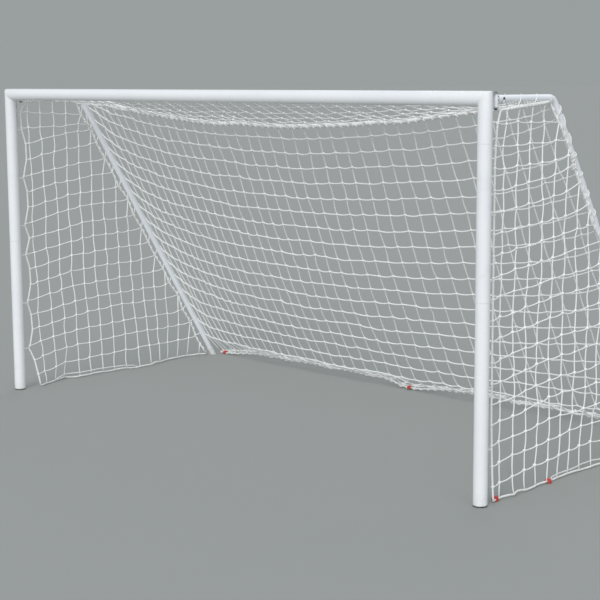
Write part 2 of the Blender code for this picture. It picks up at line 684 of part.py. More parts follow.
def build_goal():
    clear_scene()
    frame_paint = finish("white_frame_paint", (0.88, 0.89, 0.90), 0.32)
    stay_paint = finish("white_stay_paint", (0.80, 0.81, 0.84), 0.38)
    steel = finish("zinc_plated_steel", (0.55, 0.56, 0.58), 0.35, 1.0)
    hinge_metal = finish("dark_hinge_steel", (0.10, 0.11, 0.13), 0.45, 0.6)
    black_plastic = finish("black_foot_plastic", (0.04, 0.04, 0.045), 0.55)
    white_plastic = finish("white_moulded_plastic", (0.90, 0.90, 0.88), 0.40)
    twine = finish("white_net_twine", (0.86, 0.87, 0.84), 0.85)
    red = finish("red_peg_plastic", (0.70, 0.06, 0.05), 0.40)

    goal = add_empty("goal", Vector((0, (TUBE_RADIUS - REAR_Y) / 2, 0)))
    build_crossbar(frame_paint, steel, goal)
    folds = {}
    for label, side in SIDES.items():
        hinge = Vector((side * POST_X, FOLD_Y, BAR_Z))
        folds[label] = add_empty(f"{label}_fold", hinge, goal)
        build_post(label, side, frame_paint, steel, black_plastic, goal)
        build_hinge(label, side, steel, hinge_metal, goal)
        build_side_frame(label, side, stay_paint, hinge_metal, white_plastic, folds[label])
        for number, height in enumerate(clip_heights(), 1):
            origin = Vector((side * POST_X, TUBE_RADIUS, height))
            add_object(f"{label}_net_clip_{number}", clip_mesh(side, height), white_plastic, origin, goal)

        def side_net_place(column, row, plane=X_AXIS * side * POST_X):
            return side_place(column, row) + plane

        add_net(f"{label}_net", SIDE_COLUMNS, SIDE_ROWS, side_net_place, hinge, twine, folds[label])
    top_edge = Vector((0, 0, BAR_Z))
    add_net("top_net", BACK_COLUMNS, TOP_ROWS, top_place, top_edge, twine, goal)
    add_net("back_net", BACK_COLUMNS, BACK_ROWS, back_place, top_edge, twine, goal)
    build_pegs(red, goal, folds)


build_goal()
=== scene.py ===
# %% [markdown]
# # A portable soccer goal, dressed for its picture
#
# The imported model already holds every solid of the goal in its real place, in metres:
# X runs along the crossbar, +Y is behind the goal and Z is up. This lesson leaves those
# solids where they are and makes the pieces that are seen: round painted tubes, hinges,
# clips and pegs, and a knotted net of thin twine.

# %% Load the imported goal
import math

import bmesh
import bpy
import numpy as np
from mathutils import Matrix, Vector, noise


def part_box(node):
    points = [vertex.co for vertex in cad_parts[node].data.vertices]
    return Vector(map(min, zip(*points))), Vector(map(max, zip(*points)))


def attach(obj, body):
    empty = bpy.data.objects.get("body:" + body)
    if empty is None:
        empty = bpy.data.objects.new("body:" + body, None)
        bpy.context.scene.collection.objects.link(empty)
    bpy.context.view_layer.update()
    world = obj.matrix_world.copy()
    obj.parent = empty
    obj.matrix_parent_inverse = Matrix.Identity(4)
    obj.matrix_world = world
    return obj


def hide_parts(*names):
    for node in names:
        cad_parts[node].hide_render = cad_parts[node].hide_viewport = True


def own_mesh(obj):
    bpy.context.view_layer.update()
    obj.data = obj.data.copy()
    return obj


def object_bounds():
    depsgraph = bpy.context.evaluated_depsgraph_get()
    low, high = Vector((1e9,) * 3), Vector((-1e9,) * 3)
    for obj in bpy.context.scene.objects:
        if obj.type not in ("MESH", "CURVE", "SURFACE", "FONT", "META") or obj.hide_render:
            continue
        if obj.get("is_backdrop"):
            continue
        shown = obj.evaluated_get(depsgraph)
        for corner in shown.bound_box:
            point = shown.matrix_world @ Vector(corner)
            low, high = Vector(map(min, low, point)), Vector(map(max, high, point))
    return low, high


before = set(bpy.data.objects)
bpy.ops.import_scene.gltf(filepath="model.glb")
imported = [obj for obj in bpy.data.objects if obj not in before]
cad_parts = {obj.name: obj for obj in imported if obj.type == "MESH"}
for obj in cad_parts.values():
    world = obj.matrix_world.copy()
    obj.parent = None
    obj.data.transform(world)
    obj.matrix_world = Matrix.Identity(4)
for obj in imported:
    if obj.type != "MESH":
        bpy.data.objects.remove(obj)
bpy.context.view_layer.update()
X_AXIS = Vector((1, 0, 0))
Y_AXIS = Vector((0, 1, 0))
Z_AXIS = Vector((0, 0, 1))
SIDES = {"left": -1, "right": 1}
FRONT = "front_frame"
FOLDING = {"left": "left_stay", "right": "right_stay"}
noise.seed_set(4)  # the net's small irregularities are the same in every run

# %% [markdown]
# ## Read the sizes off the frame
#
# A tube's axis runs through the middle of its box, so the posts, the crossbar and their
# radius need no second list of numbers. The slanting stay isn't square to the axes, so
# its line is given by two points: the corner behind the top bar and the foot.

# %% Sizes of the frame
TOP_DEPTH = 0.510
GROUND_DEPTH = 1.630
GAP = 0.0003  # air between two pieces that fit together


def middle(node):
    low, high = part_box(node)
    return (low + high) / 2


def height_of(node):
    low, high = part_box(node)
    return high.z - low.z


POST_X, FRONT_Y, _ = middle("right_post_upper")
BAR_Z = middle("crossbar_tube_1").z
TUBE_RADIUS = height_of("crossbar_tube_1") / 2
STAY_RADIUS = height_of("left_top_bar") / 2
FOLD_Y = middle("left_hinge_pin").y
STAY_TOP = Vector((0, FRONT_Y + TOP_DEPTH, BAR_Z))
STAY_FOOT = Vector((0, FRONT_Y + GROUND_DEPTH, 0))
ALONG = (STAY_FOOT - STAY_TOP).normalized()
OUT = Vector((0, -ALONG.z, ALONG.y))
STAY_LENGTH = (STAY_FOOT - STAY_TOP).length


def side_point(side, y, z):
    """A point in the upright plane of one side frame."""
    return Vector((side * POST_X, y, z))


def stay_point(distance, side=0):
    """A point on a stay's line, at a distance from its top."""
    return X_AXIS * side * POST_X + STAY_TOP + ALONG * distance


print(f"posts at x {POST_X:.3f}, y {FRONT_Y:.4f}; crossbar at z {BAR_Z:.3f}")
print(f"tube radius {TUBE_RADIUS:.4f}, stay radius {STAY_RADIUS:.4f}, length {STAY_LENGTH:.3f}")

# %% [markdown]
# ## The camera
#
# The picture was taken from the right and a little above the crossbar. The place, the
# turn and the lens were worked out from the corners of the frame. The lens looks a
# little to one side of the picture's middle, which is what the shift is for.

# %% Set up the camera
CAMERA_PLACE = Vector((5.868, -5.938, 1.941))
CAMERA_YAW = math.radians(43.866)
CAMERA_PITCH = math.radians(-8.348)
CAMERA_ROLL = math.radians(-0.086)


def place_object(name, data):
    thing = bpy.data.objects.new(name, data)
    bpy.context.scene.collection.objects.link(thing)
    return thing


lens = bpy.data.cameras.new("picture_lens")
lens.lens = 86.64
lens.sensor_width = 36.0
lens.shift_x = -0.0667
lens.shift_y = -0.0117
camera = place_object("picture_camera", lens)
turn = Matrix.Rotation(CAMERA_YAW, 4, "Z") @ Matrix.Rotation(math.pi / 2 + CAMERA_PITCH, 4, "X")
roll = Matrix.Rotation(CAMERA_ROLL, 4, "Z")
camera.matrix_world = Matrix.Translation(CAMERA_PLACE) @ turn @ roll
bpy.context.scene.camera = camera
print("camera at", tuple(round(value, 3) for value in CAMERA_PLACE))

# %% [markdown]
# ## Effects that several finishes share
#
# Each effect is a node group with named inputs and outputs, so a finish only states its
# own values. Fine grain is what a sprayed or moulded skin shows up close. Scuffs are thin
# streaks and rubbed patches. Ground dirt fades upwards from the feet. A helper that links
# a socket or sets a plain value keeps the wiring of every node to one line.

# %% Node helpers


def feed(tree, socket, value):
    """Sets an input, or links it when the value is another node's output."""
    if isinstance(value, bpy.types.NodeSocket):
        tree.links.new(value, socket)
    else:
        socket.default_value = value


def add_node(tree, kind, inputs=None, **settings):
    node = tree.nodes.new(kind)
    for key, value in settings.items():
        setattr(node, key, value)
    for key, value in (inputs or {}).items():
        feed(tree, node.inputs[key], value)
    return node


def new_group(name, inputs, outputs):
    """An empty effect, with the sockets that its nodes start from and end in."""
    group = bpy.data.node_groups.new(name, "ShaderNodeTree")
    for title, default in inputs.items():
        socket = group.interface.new_socket(title, in_out="INPUT", socket_type="NodeSocketFloat")
        socket.default_value = default
    for title in outputs:
        group.interface.new_socket(title, in_out="OUTPUT", socket_type="NodeSocketFloat")
    print("effect", name, list(inputs), "->", outputs)
    nodes = group.nodes
    return group, nodes.new("NodeGroupInput").outputs, nodes.new("NodeGroupOutput").inputs


def own_place(tree):
    """Where a point is in the piece's own space."""
    return add_node(tree, "ShaderNodeTexCoord").outputs["Object"]


def cloud(tree, place, scale, detail, roughness):
    inputs = {"Vector": place, "Scale": scale, "Detail": detail, "Roughness": roughness}
    return add_node(tree, "ShaderNodeTexNoise", inputs).outputs["Fac"]


def ramp(tree, source, low, high):
    """Spreads the values between low and high over 0 to 1, with soft ends."""
    inputs = {"Value": source, "From Min": low, "From Max": high}
    node = add_node(tree, "ShaderNodeMapRange", inputs, interpolation_type="SMOOTHSTEP")
    return node.outputs["Result"]


def maths(tree, operation, *values):
    node = add_node(tree, "ShaderNodeMath", dict(enumerate(values)), operation=operation)
    return node.outputs["Value"]


# %% Fine grain
tree, entry, leave = new_group("fine_grain", {"Size": 0.003}, ["Height", "Blotch"])
place = own_place(tree)
scale = maths(tree, "DIVIDE", 1.0, entry["Size"])
feed(tree, leave["Height"], cloud(tree, place, scale, 2.0, 0.5))
broad = cloud(tree, place, 3.0, 4.0, 0.6)
feed(tree, leave["Blotch"], ramp(tree, broad, 0.35, 0.70))

# %% Scuffs
STREAK_SCALE = (260.0, 260.0, 14.0)  # thin across, long upwards

tree, entry, leave = new_group("scuffs", {"Amount": 0.3}, ["Mask"])
place = own_place(tree)
stretch = add_node(tree, "ShaderNodeMapping", {"Vector": place, "Scale": STREAK_SCALE})
streaks = cloud(tree, stretch.outputs["Vector"], 1.0, 3.0, 0.6)
rubbed = ramp(tree, cloud(tree, place, 9.0, 5.0, 0.65), 0.56, 0.74)
scratched = maths(tree, "MULTIPLY_ADD", ramp(tree, streaks, 0.60, 0.72), 0.7, 0.5)
worn = maths(tree, "MULTIPLY", rubbed, scratched)
feed(tree, leave["Mask"], maths(tree, "MULTIPLY", worn, entry["Amount"]))

# %% Ground dirt
tree, entry, leave = new_group("ground_dirt", {"Reach": 0.10, "Amount": 0.4}, ["Mask"])
place = own_place(tree)
split = add_node(tree, "ShaderNodeSeparateXYZ", {"Vector": place})
height = maths(tree, "DIVIDE", split.outputs["Z"], entry["Reach"])
near = ramp(tree, maths(tree, "SUBTRACT", 1.0, height), 0.0, 1.0)
spots = ramp(tree, cloud(tree, place, 70.0, 5.0, 0.7), 0.40, 0.64)
soiled = maths(tree, "MULTIPLY", spots, entry["Amount"])
feed(tree, leave["Mask"], maths(tree, "MULTIPLY", near, soiled))

# %% [markdown]
# ## The twist of the twine
#
# Net twine is three strands laid round each other. Modelling them would cost millions of
# faces, and at this scale only the shading shows them, so the twist is a height made from
# the UV map: U is the length along the twine in metres and V goes once round it. A sine
# of both draws the slanting ridges. Its troughs mask the grooves between the strands,
# where the twine's finish paints shade and makes the surface rougher.

# %% Twine twist
tree, entry, leave = new_group(
    "twine_twist", {"Lay": 0.018, "Strands": 3.0}, ["Height", "HollowShade"])
flat = add_node(tree, "ShaderNodeUVMap", uv_map="twine")
split = add_node(tree, "ShaderNodeSeparateXYZ", {"Vector": flat.outputs["UV"]})
turns = maths(tree, "DIVIDE", split.outputs["X"], entry["Lay"])
turns = maths(tree, "ADD", turns, split.outputs["Y"])
turns = maths(tree, "MULTIPLY", turns, entry["Strands"])
wave = maths(tree, "SINE", maths(tree, "MULTIPLY", turns, 2 * math.pi))
ridge = maths(tree, "MULTIPLY_ADD", wave, 0.4, 0.5)
fibres = cloud(tree, own_place(tree), 900.0, 2.0, 0.5)
fuzz = maths(tree, "MULTIPLY", fibres, 0.35)
feed(tree, leave["Height"], maths(tree, "ADD", ridge, fuzz))
# The troughs of the wave mark the grooves between the strands, where the twine gets a painted
# shade.
feed(tree, leave["HollowShade"], ramp(tree, wave, -0.2, -1.0))

# %% [markdown]
# ## The finishes
#
# Every finish starts from the same recipe: a base colour that drifts a little, a rubbed
# colour where scuffs fall, a dirty colour near the ground, and a bump from the grain.
# What sets them apart is stated as values: the powder coat is white and half glossy, the
# hinge paint is nearly black, moulded plastic has a finer grain and less gloss.

# %% Finish recipe
DIRT = (0.20, 0.17, 0.10)
materials = {}


def new_material(name):
    material = bpy.data.materials.new(name)
    material.use_nodes = True
    materials[name] = material
    print("finish", name)
    return material.node_tree, material.node_tree.nodes["Principled BSDF"]


def effect(tree, name, **values):
    """Places a shared effect in a tree and gives its outputs."""
    group = bpy.data.node_groups[name]
    return add_node(tree, "ShaderNodeGroup", values, node_tree=group).outputs


def mix_colour(tree, mask, under, over):
    node = add_node(tree, "ShaderNodeMix", {"Factor": mask}, data_type="RGBA")
    colours = [socket for socket in node.inputs if socket.type == "RGBA"]
    for socket, value in zip(colours, (under, over)):
        feed(tree, socket, value if isinstance(value, bpy.types.NodeSocket) else (*value, 1.0))
    return next(socket for socket in node.outputs if socket.type == "RGBA")


def dress(tree, shader, base, gloss, rough, height, bump):
    """Gives a shader its colour, a range of roughness over a mask, and its bump."""
    span = {"Value": gloss, "To Min": rough[0], "To Max": rough[1]}
    spread = add_node(tree, "ShaderNodeMapRange", span)
    relief = {"Height": height, "Strength": bump[0], "Distance": bump[1]}
    lift = add_node(tree, "ShaderNodeBump", relief)
    feed(tree, shader.inputs["Base Color"], base)
    feed(tree, shader.inputs["Roughness"], spread.outputs["Result"])
    feed(tree, shader.inputs["Normal"], lift.outputs["Normal"])


def coated(name, colour, drift, rubbed, grain, rough, bump, scuffs=0.3, dirt=0.35, reach=0.08):
    """A coated or moulded skin: colour drift, scuffs, ground dirt and a fine grain."""
    tree, shader = new_material(name)
    skin = effect(tree, "fine_grain", Size=grain)
    wear = effect(tree, "scuffs", Amount=scuffs)
    soil = effect(tree, "ground_dirt", Amount=dirt, Reach=reach)
    base = mix_colour(tree, skin["Blotch"], colour, drift)
    base = mix_colour(tree, wear["Mask"], base, rubbed)
    base = mix_colour(tree, soil["Mask"], base, DIRT)
    gloss = maths(tree, "ADD", skin["Blotch"], wear["Mask"])
    dress(tree, shader, base, gloss, rough, skin["Height"], bump)
    return shader


# %% Painted and moulded finishes
coated("white_frame_paint", (0.83, 0.84, 0.85), (0.80, 0.81, 0.83), (0.62, 0.63, 0.63),
       grain=0.0022, rough=(0.27, 0.40), bump=(0.20, 0.0004), scuffs=0.5, dirt=0.22)
coated("white_stay_paint", (0.87, 0.89, 0.92), (0.83, 0.85, 0.88), (0.60, 0.61, 0.64),
       grain=0.0020, rough=(0.30, 0.44), bump=(0.20, 0.0004), scuffs=0.5, reach=0.12)
coated("dark_hinge_steel", (0.085, 0.088, 0.092), (0.110, 0.112, 0.116), (0.32, 0.32, 0.31),
       grain=0.0012, rough=(0.38, 0.55), bump=(0.30, 0.0004), scuffs=0.8)
coated("black_foot_plastic", (0.020, 0.020, 0.022), (0.030, 0.030, 0.032), (0.10, 0.10, 0.10),
       grain=0.0010, rough=(0.45, 0.65), bump=(0.35, 0.0003), scuffs=0.7, dirt=0.8,
       reach=0.05)
coated("white_moulded_plastic", (0.78, 0.78, 0.76), (0.74, 0.74, 0.71), (0.62, 0.62, 0.60),
       grain=0.0010, rough=(0.40, 0.55), bump=(0.25, 0.0003))
red = coated("red_peg_plastic", (0.60, 0.035, 0.025), (0.50, 0.025, 0.020), (0.66, 0.22, 0.18),
             grain=0.0012, rough=(0.28, 0.45), bump=(0.20, 0.0003), scuffs=0.7, dirt=0.6,
             reach=0.03)
red.inputs["Subsurface Weight"].default_value = 0.05
red.inputs["Subsurface Radius"].default_value = (0.004, 0.001, 0.001)

# %% Zinc plated steel
tree, zinc = new_material("zinc_plated_steel")
skin = effect(tree, "fine_grain", Size=0.0008)
spangle = add_node(tree, "ShaderNodeTexVoronoi", {"Vector": own_place(tree), "Scale": 90.0})
plated = mix_colour(tree, skin["Blotch"], (0.74, 0.76, 0.78), (0.78, 0.77, 0.73))
tint = ramp(tree, spangle.outputs["Distance"], 0.2, 0.8)
base = mix_colour(tree, tint, plated, (0.66, 0.68, 0.71))
dress(tree, zinc, base, skin["Blotch"], (0.36, 0.54), skin["Height"], (0.15, 0.0002))
zinc.inputs["Metallic"].default_value = 1.0

# %% White net twine
tree, twine = new_material("white_net_twine")
twist = effect(tree, "twine_twist")
skin = effect(tree, "fine_grain", Size=0.02)
soil = effect(tree, "ground_dirt", Amount=0.30, Reach=0.07)
base = mix_colour(tree, skin["Blotch"], (0.93, 0.93, 0.92), (0.88, 0.88, 0.86))
# The grooves between the strands are painted a darker white: painted shade, not dirt.
base = mix_colour(tree, twist["HollowShade"], base, (0.78, 0.78, 0.76))
base = mix_colour(tree, soil["Mask"], base, (0.33, 0.33, 0.20))
dress(tree, twine, base, twist["HollowShade"], (0.55, 0.80), twist["Height"], (0.8, 0.0008))
twine.inputs["Sheen Weight"].default_value = 0.15
twine.inputs["Sheen Roughness"].default_value = 0.5

# %% [markdown]
# ## Turning a profile into a tube
#
# A tube is a circle that is extruded from ring to ring. A ring is a matrix: two arrows of
# the circle's radius and the point at its middle. Moving the newest ring by the new
# matrix after undoing the old one places it exactly, and a slanting ring makes a mitre.
# Skinning was chosen over a spin because the same helper also follows bends.

# %% Ring helpers


def ring(point, first, second):
    matrix = Matrix.Identity(4)
    for column, arrow in enumerate((first, second, first.cross(second).normalized(), point)):
        for row in range(3):
            matrix[row][column] = arrow[row]
    return matrix


def rings_on(start, along, across, profile):
    """Rings on a straight axis, from pairs of distance and radius."""
    second = along.cross(across)
    return [ring(start + along * distance, across * radius, second * radius)
            for distance, radius in profile]


# %% Skin helpers
TUBE_SIDES = 64
ROUND_SIDES = 40
HEX_SIDES = 6


def pick(geometry, kind):
    """The vertices, or the edges, among what an operator gives back."""
    return [item for item in geometry if isinstance(item, kind)]


def edges_at(verts):
    return list(dict.fromkeys(edge for vert in verts for edge in vert.link_edges))


def skin_over(shape, rings, sides=TUBE_SIDES):
    """Extrudes a circle through the rings, closes it, and gives the edges of each ring."""
    made = bmesh.ops.create_circle(
        shape, cap_ends=False, segments=sides, radius=1, matrix=rings[0])
    rims = [edges_at(made["verts"])]
    for before, after in zip(rings, rings[1:]):
        grown = bmesh.ops.extrude_edge_only(shape, edges=rims[-1])["geom"]
        verts = pick(grown, bmesh.types.BMVert)
        bmesh.ops.transform(shape, matrix=after @ before.inverted(), verts=verts)
        moved = set(verts)
        edges = pick(grown, bmesh.types.BMEdge)
        rims.append([edge for edge in edges if moved.issuperset(edge.verts)])
    for rim in (rims[0], rims[-1]):
        bmesh.ops.contextual_create(shape, geom=rim)
    return rims


def turned(shape, start, along, across, profile, sides=TUBE_SIDES):
    """A form turned on a straight axis."""
    skin_over(shape, rings_on(start, along, across, profile), sides)


# %% Edge and piece helpers
SHARP = math.radians(32)


def soften(shape, edges, offset, segments=2):
    bmesh.ops.bevel(shape, geom=edges, offset=offset, affect="EDGES", segments=segments,
                    profile=0.5, material=-1)


def sharp_edges(shape):
    return [edge for edge in shape.edges if edge.is_manifold and edge.calc_face_angle() > SHARP]


def add_piece(name, shape, slot, body, *stands_for, round_all=False):
    """Makes an object of a bmesh, smooth between its sharp edges, and lets it ride."""
    bmesh.ops.recalc_face_normals(shape, faces=shape.faces)
    for edge in () if round_all else shape.edges:
        if len(edge.link_faces) == 2:
            edge.smooth = edge.calc_face_angle() < SHARP
    mesh = bpy.data.meshes.new(name)
    shape.to_mesh(mesh)
    shape.free()
    mesh.polygons.foreach_set("use_smooth", [True] * len(mesh.polygons))
    mesh.materials.append(materials[slot])
    piece = place_object(name, mesh)
    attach(piece, body)
    if stands_for:
        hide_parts(*stands_for)
    print(f"{name}: {len(mesh.polygons)} faces, on {body}")
    return piece


# %% [markdown]
# ## The front frame
#
# The crossbar is four lengths of tube and each post two, pushed over couplers that stay
# hidden. Each length is cut square and its edge is broken, so a joint shows as a fine
# line. The profile goes in at one end, over the outside and in at the other end, which
# gives the tube a bore and one closed skin.

# %% Straight tubes of the front frame
LIP = 0.0010
BORE_SHOWN = 0.030
TUBE_WALL = 0.0025
TUBE_BORE = TUBE_RADIUS - TUBE_WALL


def open_end(shown, bore, radius):
    """From inside a bore, over the square cut and its broken edge, to the outside."""
    return [(shown, bore), (0, bore), (0, radius - LIP), (LIP, radius)]


def far_end(profile, length=0.0):
    return [(length - distance, radius) for distance, radius in reversed(profile)]


def add_tube(name, start, end, across, radius, wall, slot, body, node):
    shape = bmesh.new()
    span = end - start
    near = open_end(BORE_SHOWN, radius - wall, radius)
    turned(shape, start, span.normalized(), across, near + far_end(near, span.length))
    add_piece(name, shape, slot, body, node)


def front_tube(name, start, end, node):
    add_tube(name, start, end, Y_AXIS, TUBE_RADIUS, TUBE_WALL, "white_frame_paint", FRONT, node)


for number in range(1, 5):
    node = f"crossbar_tube_{number}"
    start, end = (Vector((corner.x, FRONT_Y, BAR_Z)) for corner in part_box(node))
    front_tube(f"crossbar_length_{number}", start, end, node)
for label, side in SIDES.items():
    for part in ("upper", "lower"):
        node = f"{label}_post_{part}"
        start, end = (side_point(side, FRONT_Y, corner.z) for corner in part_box(node))
        front_tube(f"{label}_post_{part}_length", start, end, node)

# %% [markdown]
# ## Mitred corners
#
# A post and the crossbar meet in a corner that is sawn at 45 degrees and welded. One ring
# that leans by half of the turn makes the mitre, and a small bevel on its edge stands for
# the dressed weld under the paint.

# %% Corners
MITRE_SOFTNESS = 0.0022
CORNER_LEG = POST_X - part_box("crossbar_tube_4")[1].x - GAP

for label, side in SIDES.items():
    outward = X_AXIS * side
    across = Y_AXIS * -side
    corner = side_point(side, FRONT_Y, BAR_Z)
    leg = open_end(BORE_SHOWN, TUBE_BORE, TUBE_RADIUS)
    rings = rings_on(corner - Z_AXIS * CORNER_LEG, Z_AXIS, across, leg)
    rings.append(ring(corner, across * TUBE_RADIUS, (outward + Z_AXIS) * TUBE_RADIUS))
    rings += rings_on(corner, -outward, across, far_end(leg, CORNER_LEG))
    shape = bmesh.new()
    rims = skin_over(shape, rings)
    soften(shape, rims[len(leg)], MITRE_SOFTNESS, segments=3)
    add_piece(f"{label}_mitred_corner", shape, "white_frame_paint", FRONT, f"{label}_corner")

# %% [markdown]
# ## Feet of the posts
#
# A moulded plug closes each post and carries it on a thin sole. Rings give its rounded
# sole, the shoulder that the tube rests on, and the plug inside. A turned profile is
# chosen over a stack of discs, because it leaves no hidden faces.

# %% Post feet
for label, side in SIDES.items():
    node = f"{label}_post_foot"
    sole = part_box(f"{label}_post_lower")[0].z - GAP
    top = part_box(node)[1].z
    plug = TUBE_BORE - GAP
    profile = [
        (0.0014, 0.010), (0.0014, 0.024), (0, 0.0255), (0, TUBE_RADIUS - 0.0022),
        (0.0007, TUBE_RADIUS - 0.0007), (0.0022, TUBE_RADIUS), (sole - 0.0012, TUBE_RADIUS),
        (sole - 0.0002, TUBE_RADIUS - 0.0008), (sole, plug), (top - 0.002, plug),
        (top, plug - 0.002)]
    shape = bmesh.new()
    turned(shape, side_point(side, FRONT_Y, 0), Z_AXIS, Y_AXIS, profile)
    add_piece(f"{label}_post_sole", shape, "black_foot_plastic", FRONT, node)

# %% [markdown]
# ## The side frames
#
# Each side frame is a short level bar, a bent elbow and a two-part stay, all of thinner
# tube. The elbow is bent by about sixty degrees, and its rings follow that arc in small
# steps. Its two ends narrow to spigots that go into the bar and the stay.

# %% Bars and stays
STAY_WALL = 0.002
STAY_SLOPE = math.acos(ALONG.y)
BEND_RADIUS = 0.060
BEND_TANGENT = BEND_RADIUS * math.tan(STAY_SLOPE / 2)
BEND_REACH = BEND_TANGENT + 0.030
SLEEVE_RADIUS = 0.0108
STAY_END = STAY_LENGTH - STAY_RADIUS / math.tan(STAY_SLOPE) - 0.008
STAY_JOINT = (BEND_REACH + STAY_END) / 2
STAY_PARTS = {"upper": (BEND_REACH + GAP, STAY_JOINT - GAP), "lower": (STAY_JOINT + GAP, STAY_END)}


def side_tube(label, part, start, end):
    add_tube(f"{label}_{part}_tube", start, end, X_AXIS, STAY_RADIUS, STAY_WALL,
             "white_stay_paint", FOLDING[label], f"{label}_{part}")


for label, side in SIDES.items():
    start = side_point(side, FOLD_Y + SLEEVE_RADIUS + GAP, BAR_Z)
    side_tube(label, "top_bar", start, side_point(side, STAY_TOP.y - BEND_REACH - GAP, BAR_Z))
    for part, (near, far) in STAY_PARTS.items():
        side_tube(label, f"stay_{part}", stay_point(near, side), stay_point(far, side))
print(f"stay joint at {STAY_JOINT:.3f} of {STAY_LENGTH:.3f}")

# %% Elbows
BEND_STEPS = 14
SPIGOT = STAY_RADIUS - STAY_WALL - GAP

for label, side in SIDES.items():
    spigot = open_end(-0.02, SPIGOT, STAY_RADIUS)
    start = side_point(side, STAY_TOP.y - BEND_REACH, BAR_Z)
    rings = rings_on(start, Y_AXIS, X_AXIS, spigot)
    centre = side_point(side, STAY_TOP.y - BEND_TANGENT, BAR_Z - BEND_RADIUS)
    for step in range(BEND_STEPS + 1):
        angle = STAY_SLOPE * step / BEND_STEPS
        outward = Vector((0, math.sin(angle), math.cos(angle)))
        along = Vector((0, math.cos(angle), -math.sin(angle)))
        rings += rings_on(centre + outward * BEND_RADIUS, along, X_AXIS, [(0, STAY_RADIUS)])
    rings += rings_on(stay_point(BEND_REACH, side), ALONG, X_AXIS, far_end(spigot))
    shape = bmesh.new()
    skin_over(shape, rings)
    add_piece(f"{label}_elbow", shape, "white_stay_paint", FOLDING[label], f"{label}_rear_elbow")

# %% [markdown]
# ## Caps on the stays' feet
#
# The stay meets the ground at a slant, so its cap is a sleeve with a rolled lip that is
# cut off level with the ground. `bisect_plane` does the cut as the saw would.

# %% Stay feet
CAP_RADIUS = 0.0193
CAP_WAIST = CAP_RADIUS - 0.0010
CAP_LENGTH = 0.045
CAP_SOCKET = STAY_RADIUS + GAP

for label, side in SIDES.items():
    reach = STAY_LENGTH - STAY_END + 2 * CAP_RADIUS
    profile = [
        (CAP_LENGTH, CAP_SOCKET), (0.0006, CAP_SOCKET), (0, CAP_SOCKET + 0.0006),
        (0, CAP_RADIUS - 0.0012), (0.0012, CAP_RADIUS), (0.005, CAP_RADIUS), (0.0062, CAP_WAIST),
        (0.030, CAP_WAIST), (0.034, CAP_RADIUS), (CAP_LENGTH + reach, CAP_RADIUS)]
    shape = bmesh.new()
    turned(shape, stay_point(STAY_END - CAP_LENGTH, side), ALONG, X_AXIS, profile)
    everything = [*shape.verts, *shape.edges, *shape.faces]
    cut = bmesh.ops.bisect_plane(
        shape, geom=everything, plane_co=Vector((0, 0, 0)), plane_no=Z_AXIS, clear_inner=True)
    rim = pick(cut["geom_cut"], bmesh.types.BMEdge)
    bmesh.ops.contextual_create(shape, geom=rim)
    add_piece(f"{label}_stay_cap", shape, "white_moulded_plastic", FOLDING[label],
              f"{label}_stay_foot")

# %% [markdown]
# ## Hinges
#
# A steel strip behind the corner carries two ears. A pin goes down through the ears and a
# sleeve, and a nut holds it from below. The strip is drawn as one outline, pulled out to
# its width, and its ears are rounded with a wide bevel before the small one that breaks
# every edge. Pin, nut and sleeve are turned forms, and a turned form of six sides is a
# hexagon.

# %% Hinge brackets
BRACKET_WIDTH = 0.024
EAR_ROUND = 0.0095
EAR_THICKNESS = 0.005
STRIP_THICKNESS = 0.004
SAME_PLACE = 1e-6

for label in SIDES:
    node = f"{label}_hinge_bracket"
    low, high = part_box(node)
    sleeve_low, sleeve_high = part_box(f"{label}_hinge_sleeve")
    strip = low.y + STRIP_THICKNESS
    ear_low, ear_top = sleeve_low.z - GAP, sleeve_high.z + GAP
    corners = [
        (low.y, low.z), (strip, low.z), (strip, ear_low - EAR_THICKNESS),
        (high.y, ear_low - EAR_THICKNESS), (high.y, ear_low), (strip, ear_low),
        (strip, ear_top), (high.y, ear_top), (high.y, high.z), (low.y, high.z)]
    shape = bmesh.new()
    outline = shape.faces.new([shape.verts.new((low.x, y, z)) for y, z in corners])
    grown = bmesh.ops.extrude_face_region(shape, geom=[outline])["geom"]
    moved = pick(grown, bmesh.types.BMVert)
    bmesh.ops.translate(shape, verts=moved, vec=X_AXIS * BRACKET_WIDTH)
    uprights = []
    for edge in shape.edges:
        one, other = (vert.co for vert in edge.verts)
        upright = abs(one.x - other.x) + abs(one.y - other.y) < SAME_PLACE
        if upright and abs(one.y - high.y) < SAME_PLACE:
            uprights.append(edge)
    soften(shape, uprights, EAR_ROUND, segments=8)
    soften(shape, sharp_edges(shape), 0.0005)
    add_piece(f"{label}_hinge_strip", shape, "zinc_plated_steel", FRONT, node)

# %% Hinge pins and nuts
PIN_RADIUS = 0.005
PIN_HEAD = 0.004
NUT_RADIUS = 0.0088
WASHER = [(0, 0.0062), (0.0015, 0.0070), (0.003, 0.0070)]

for label, side in SIDES.items():
    node = f"{label}_hinge_pin"
    base = side_point(side, FOLD_Y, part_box(node)[0].z)
    head = height_of(node) - PIN_HEAD
    profile = [
        (0, PIN_RADIUS - 0.0008), (0.0008, PIN_RADIUS), (head, PIN_RADIUS), (head, 0.0072),
        (head + 0.0006, 0.008), (head + 0.0022, 0.0079), (head + 0.0034, 0.0066),
        (head + PIN_HEAD, 0.0040)]
    shape = bmesh.new()
    turned(shape, base, Z_AXIS, X_AXIS, profile, ROUND_SIDES)
    add_piece(f"{label}_hinge_bolt", shape, "dark_hinge_steel", FRONT, node)

    node = f"{label}_hinge_nut"
    base = side_point(side, FOLD_Y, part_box(node)[0].z)
    shape = bmesh.new()
    hexagon = [(0, NUT_RADIUS), (height_of(node), NUT_RADIUS)]
    turned(shape, base, Z_AXIS, X_AXIS, hexagon, HEX_SIDES)
    soften(shape, sharp_edges(shape), 0.0007)
    turned(shape, base - Z_AXIS * 0.0015, Z_AXIS, X_AXIS, WASHER, ROUND_SIDES)
    add_piece(f"{label}_hinge_lock_nut", shape, "dark_hinge_steel", FRONT, node)

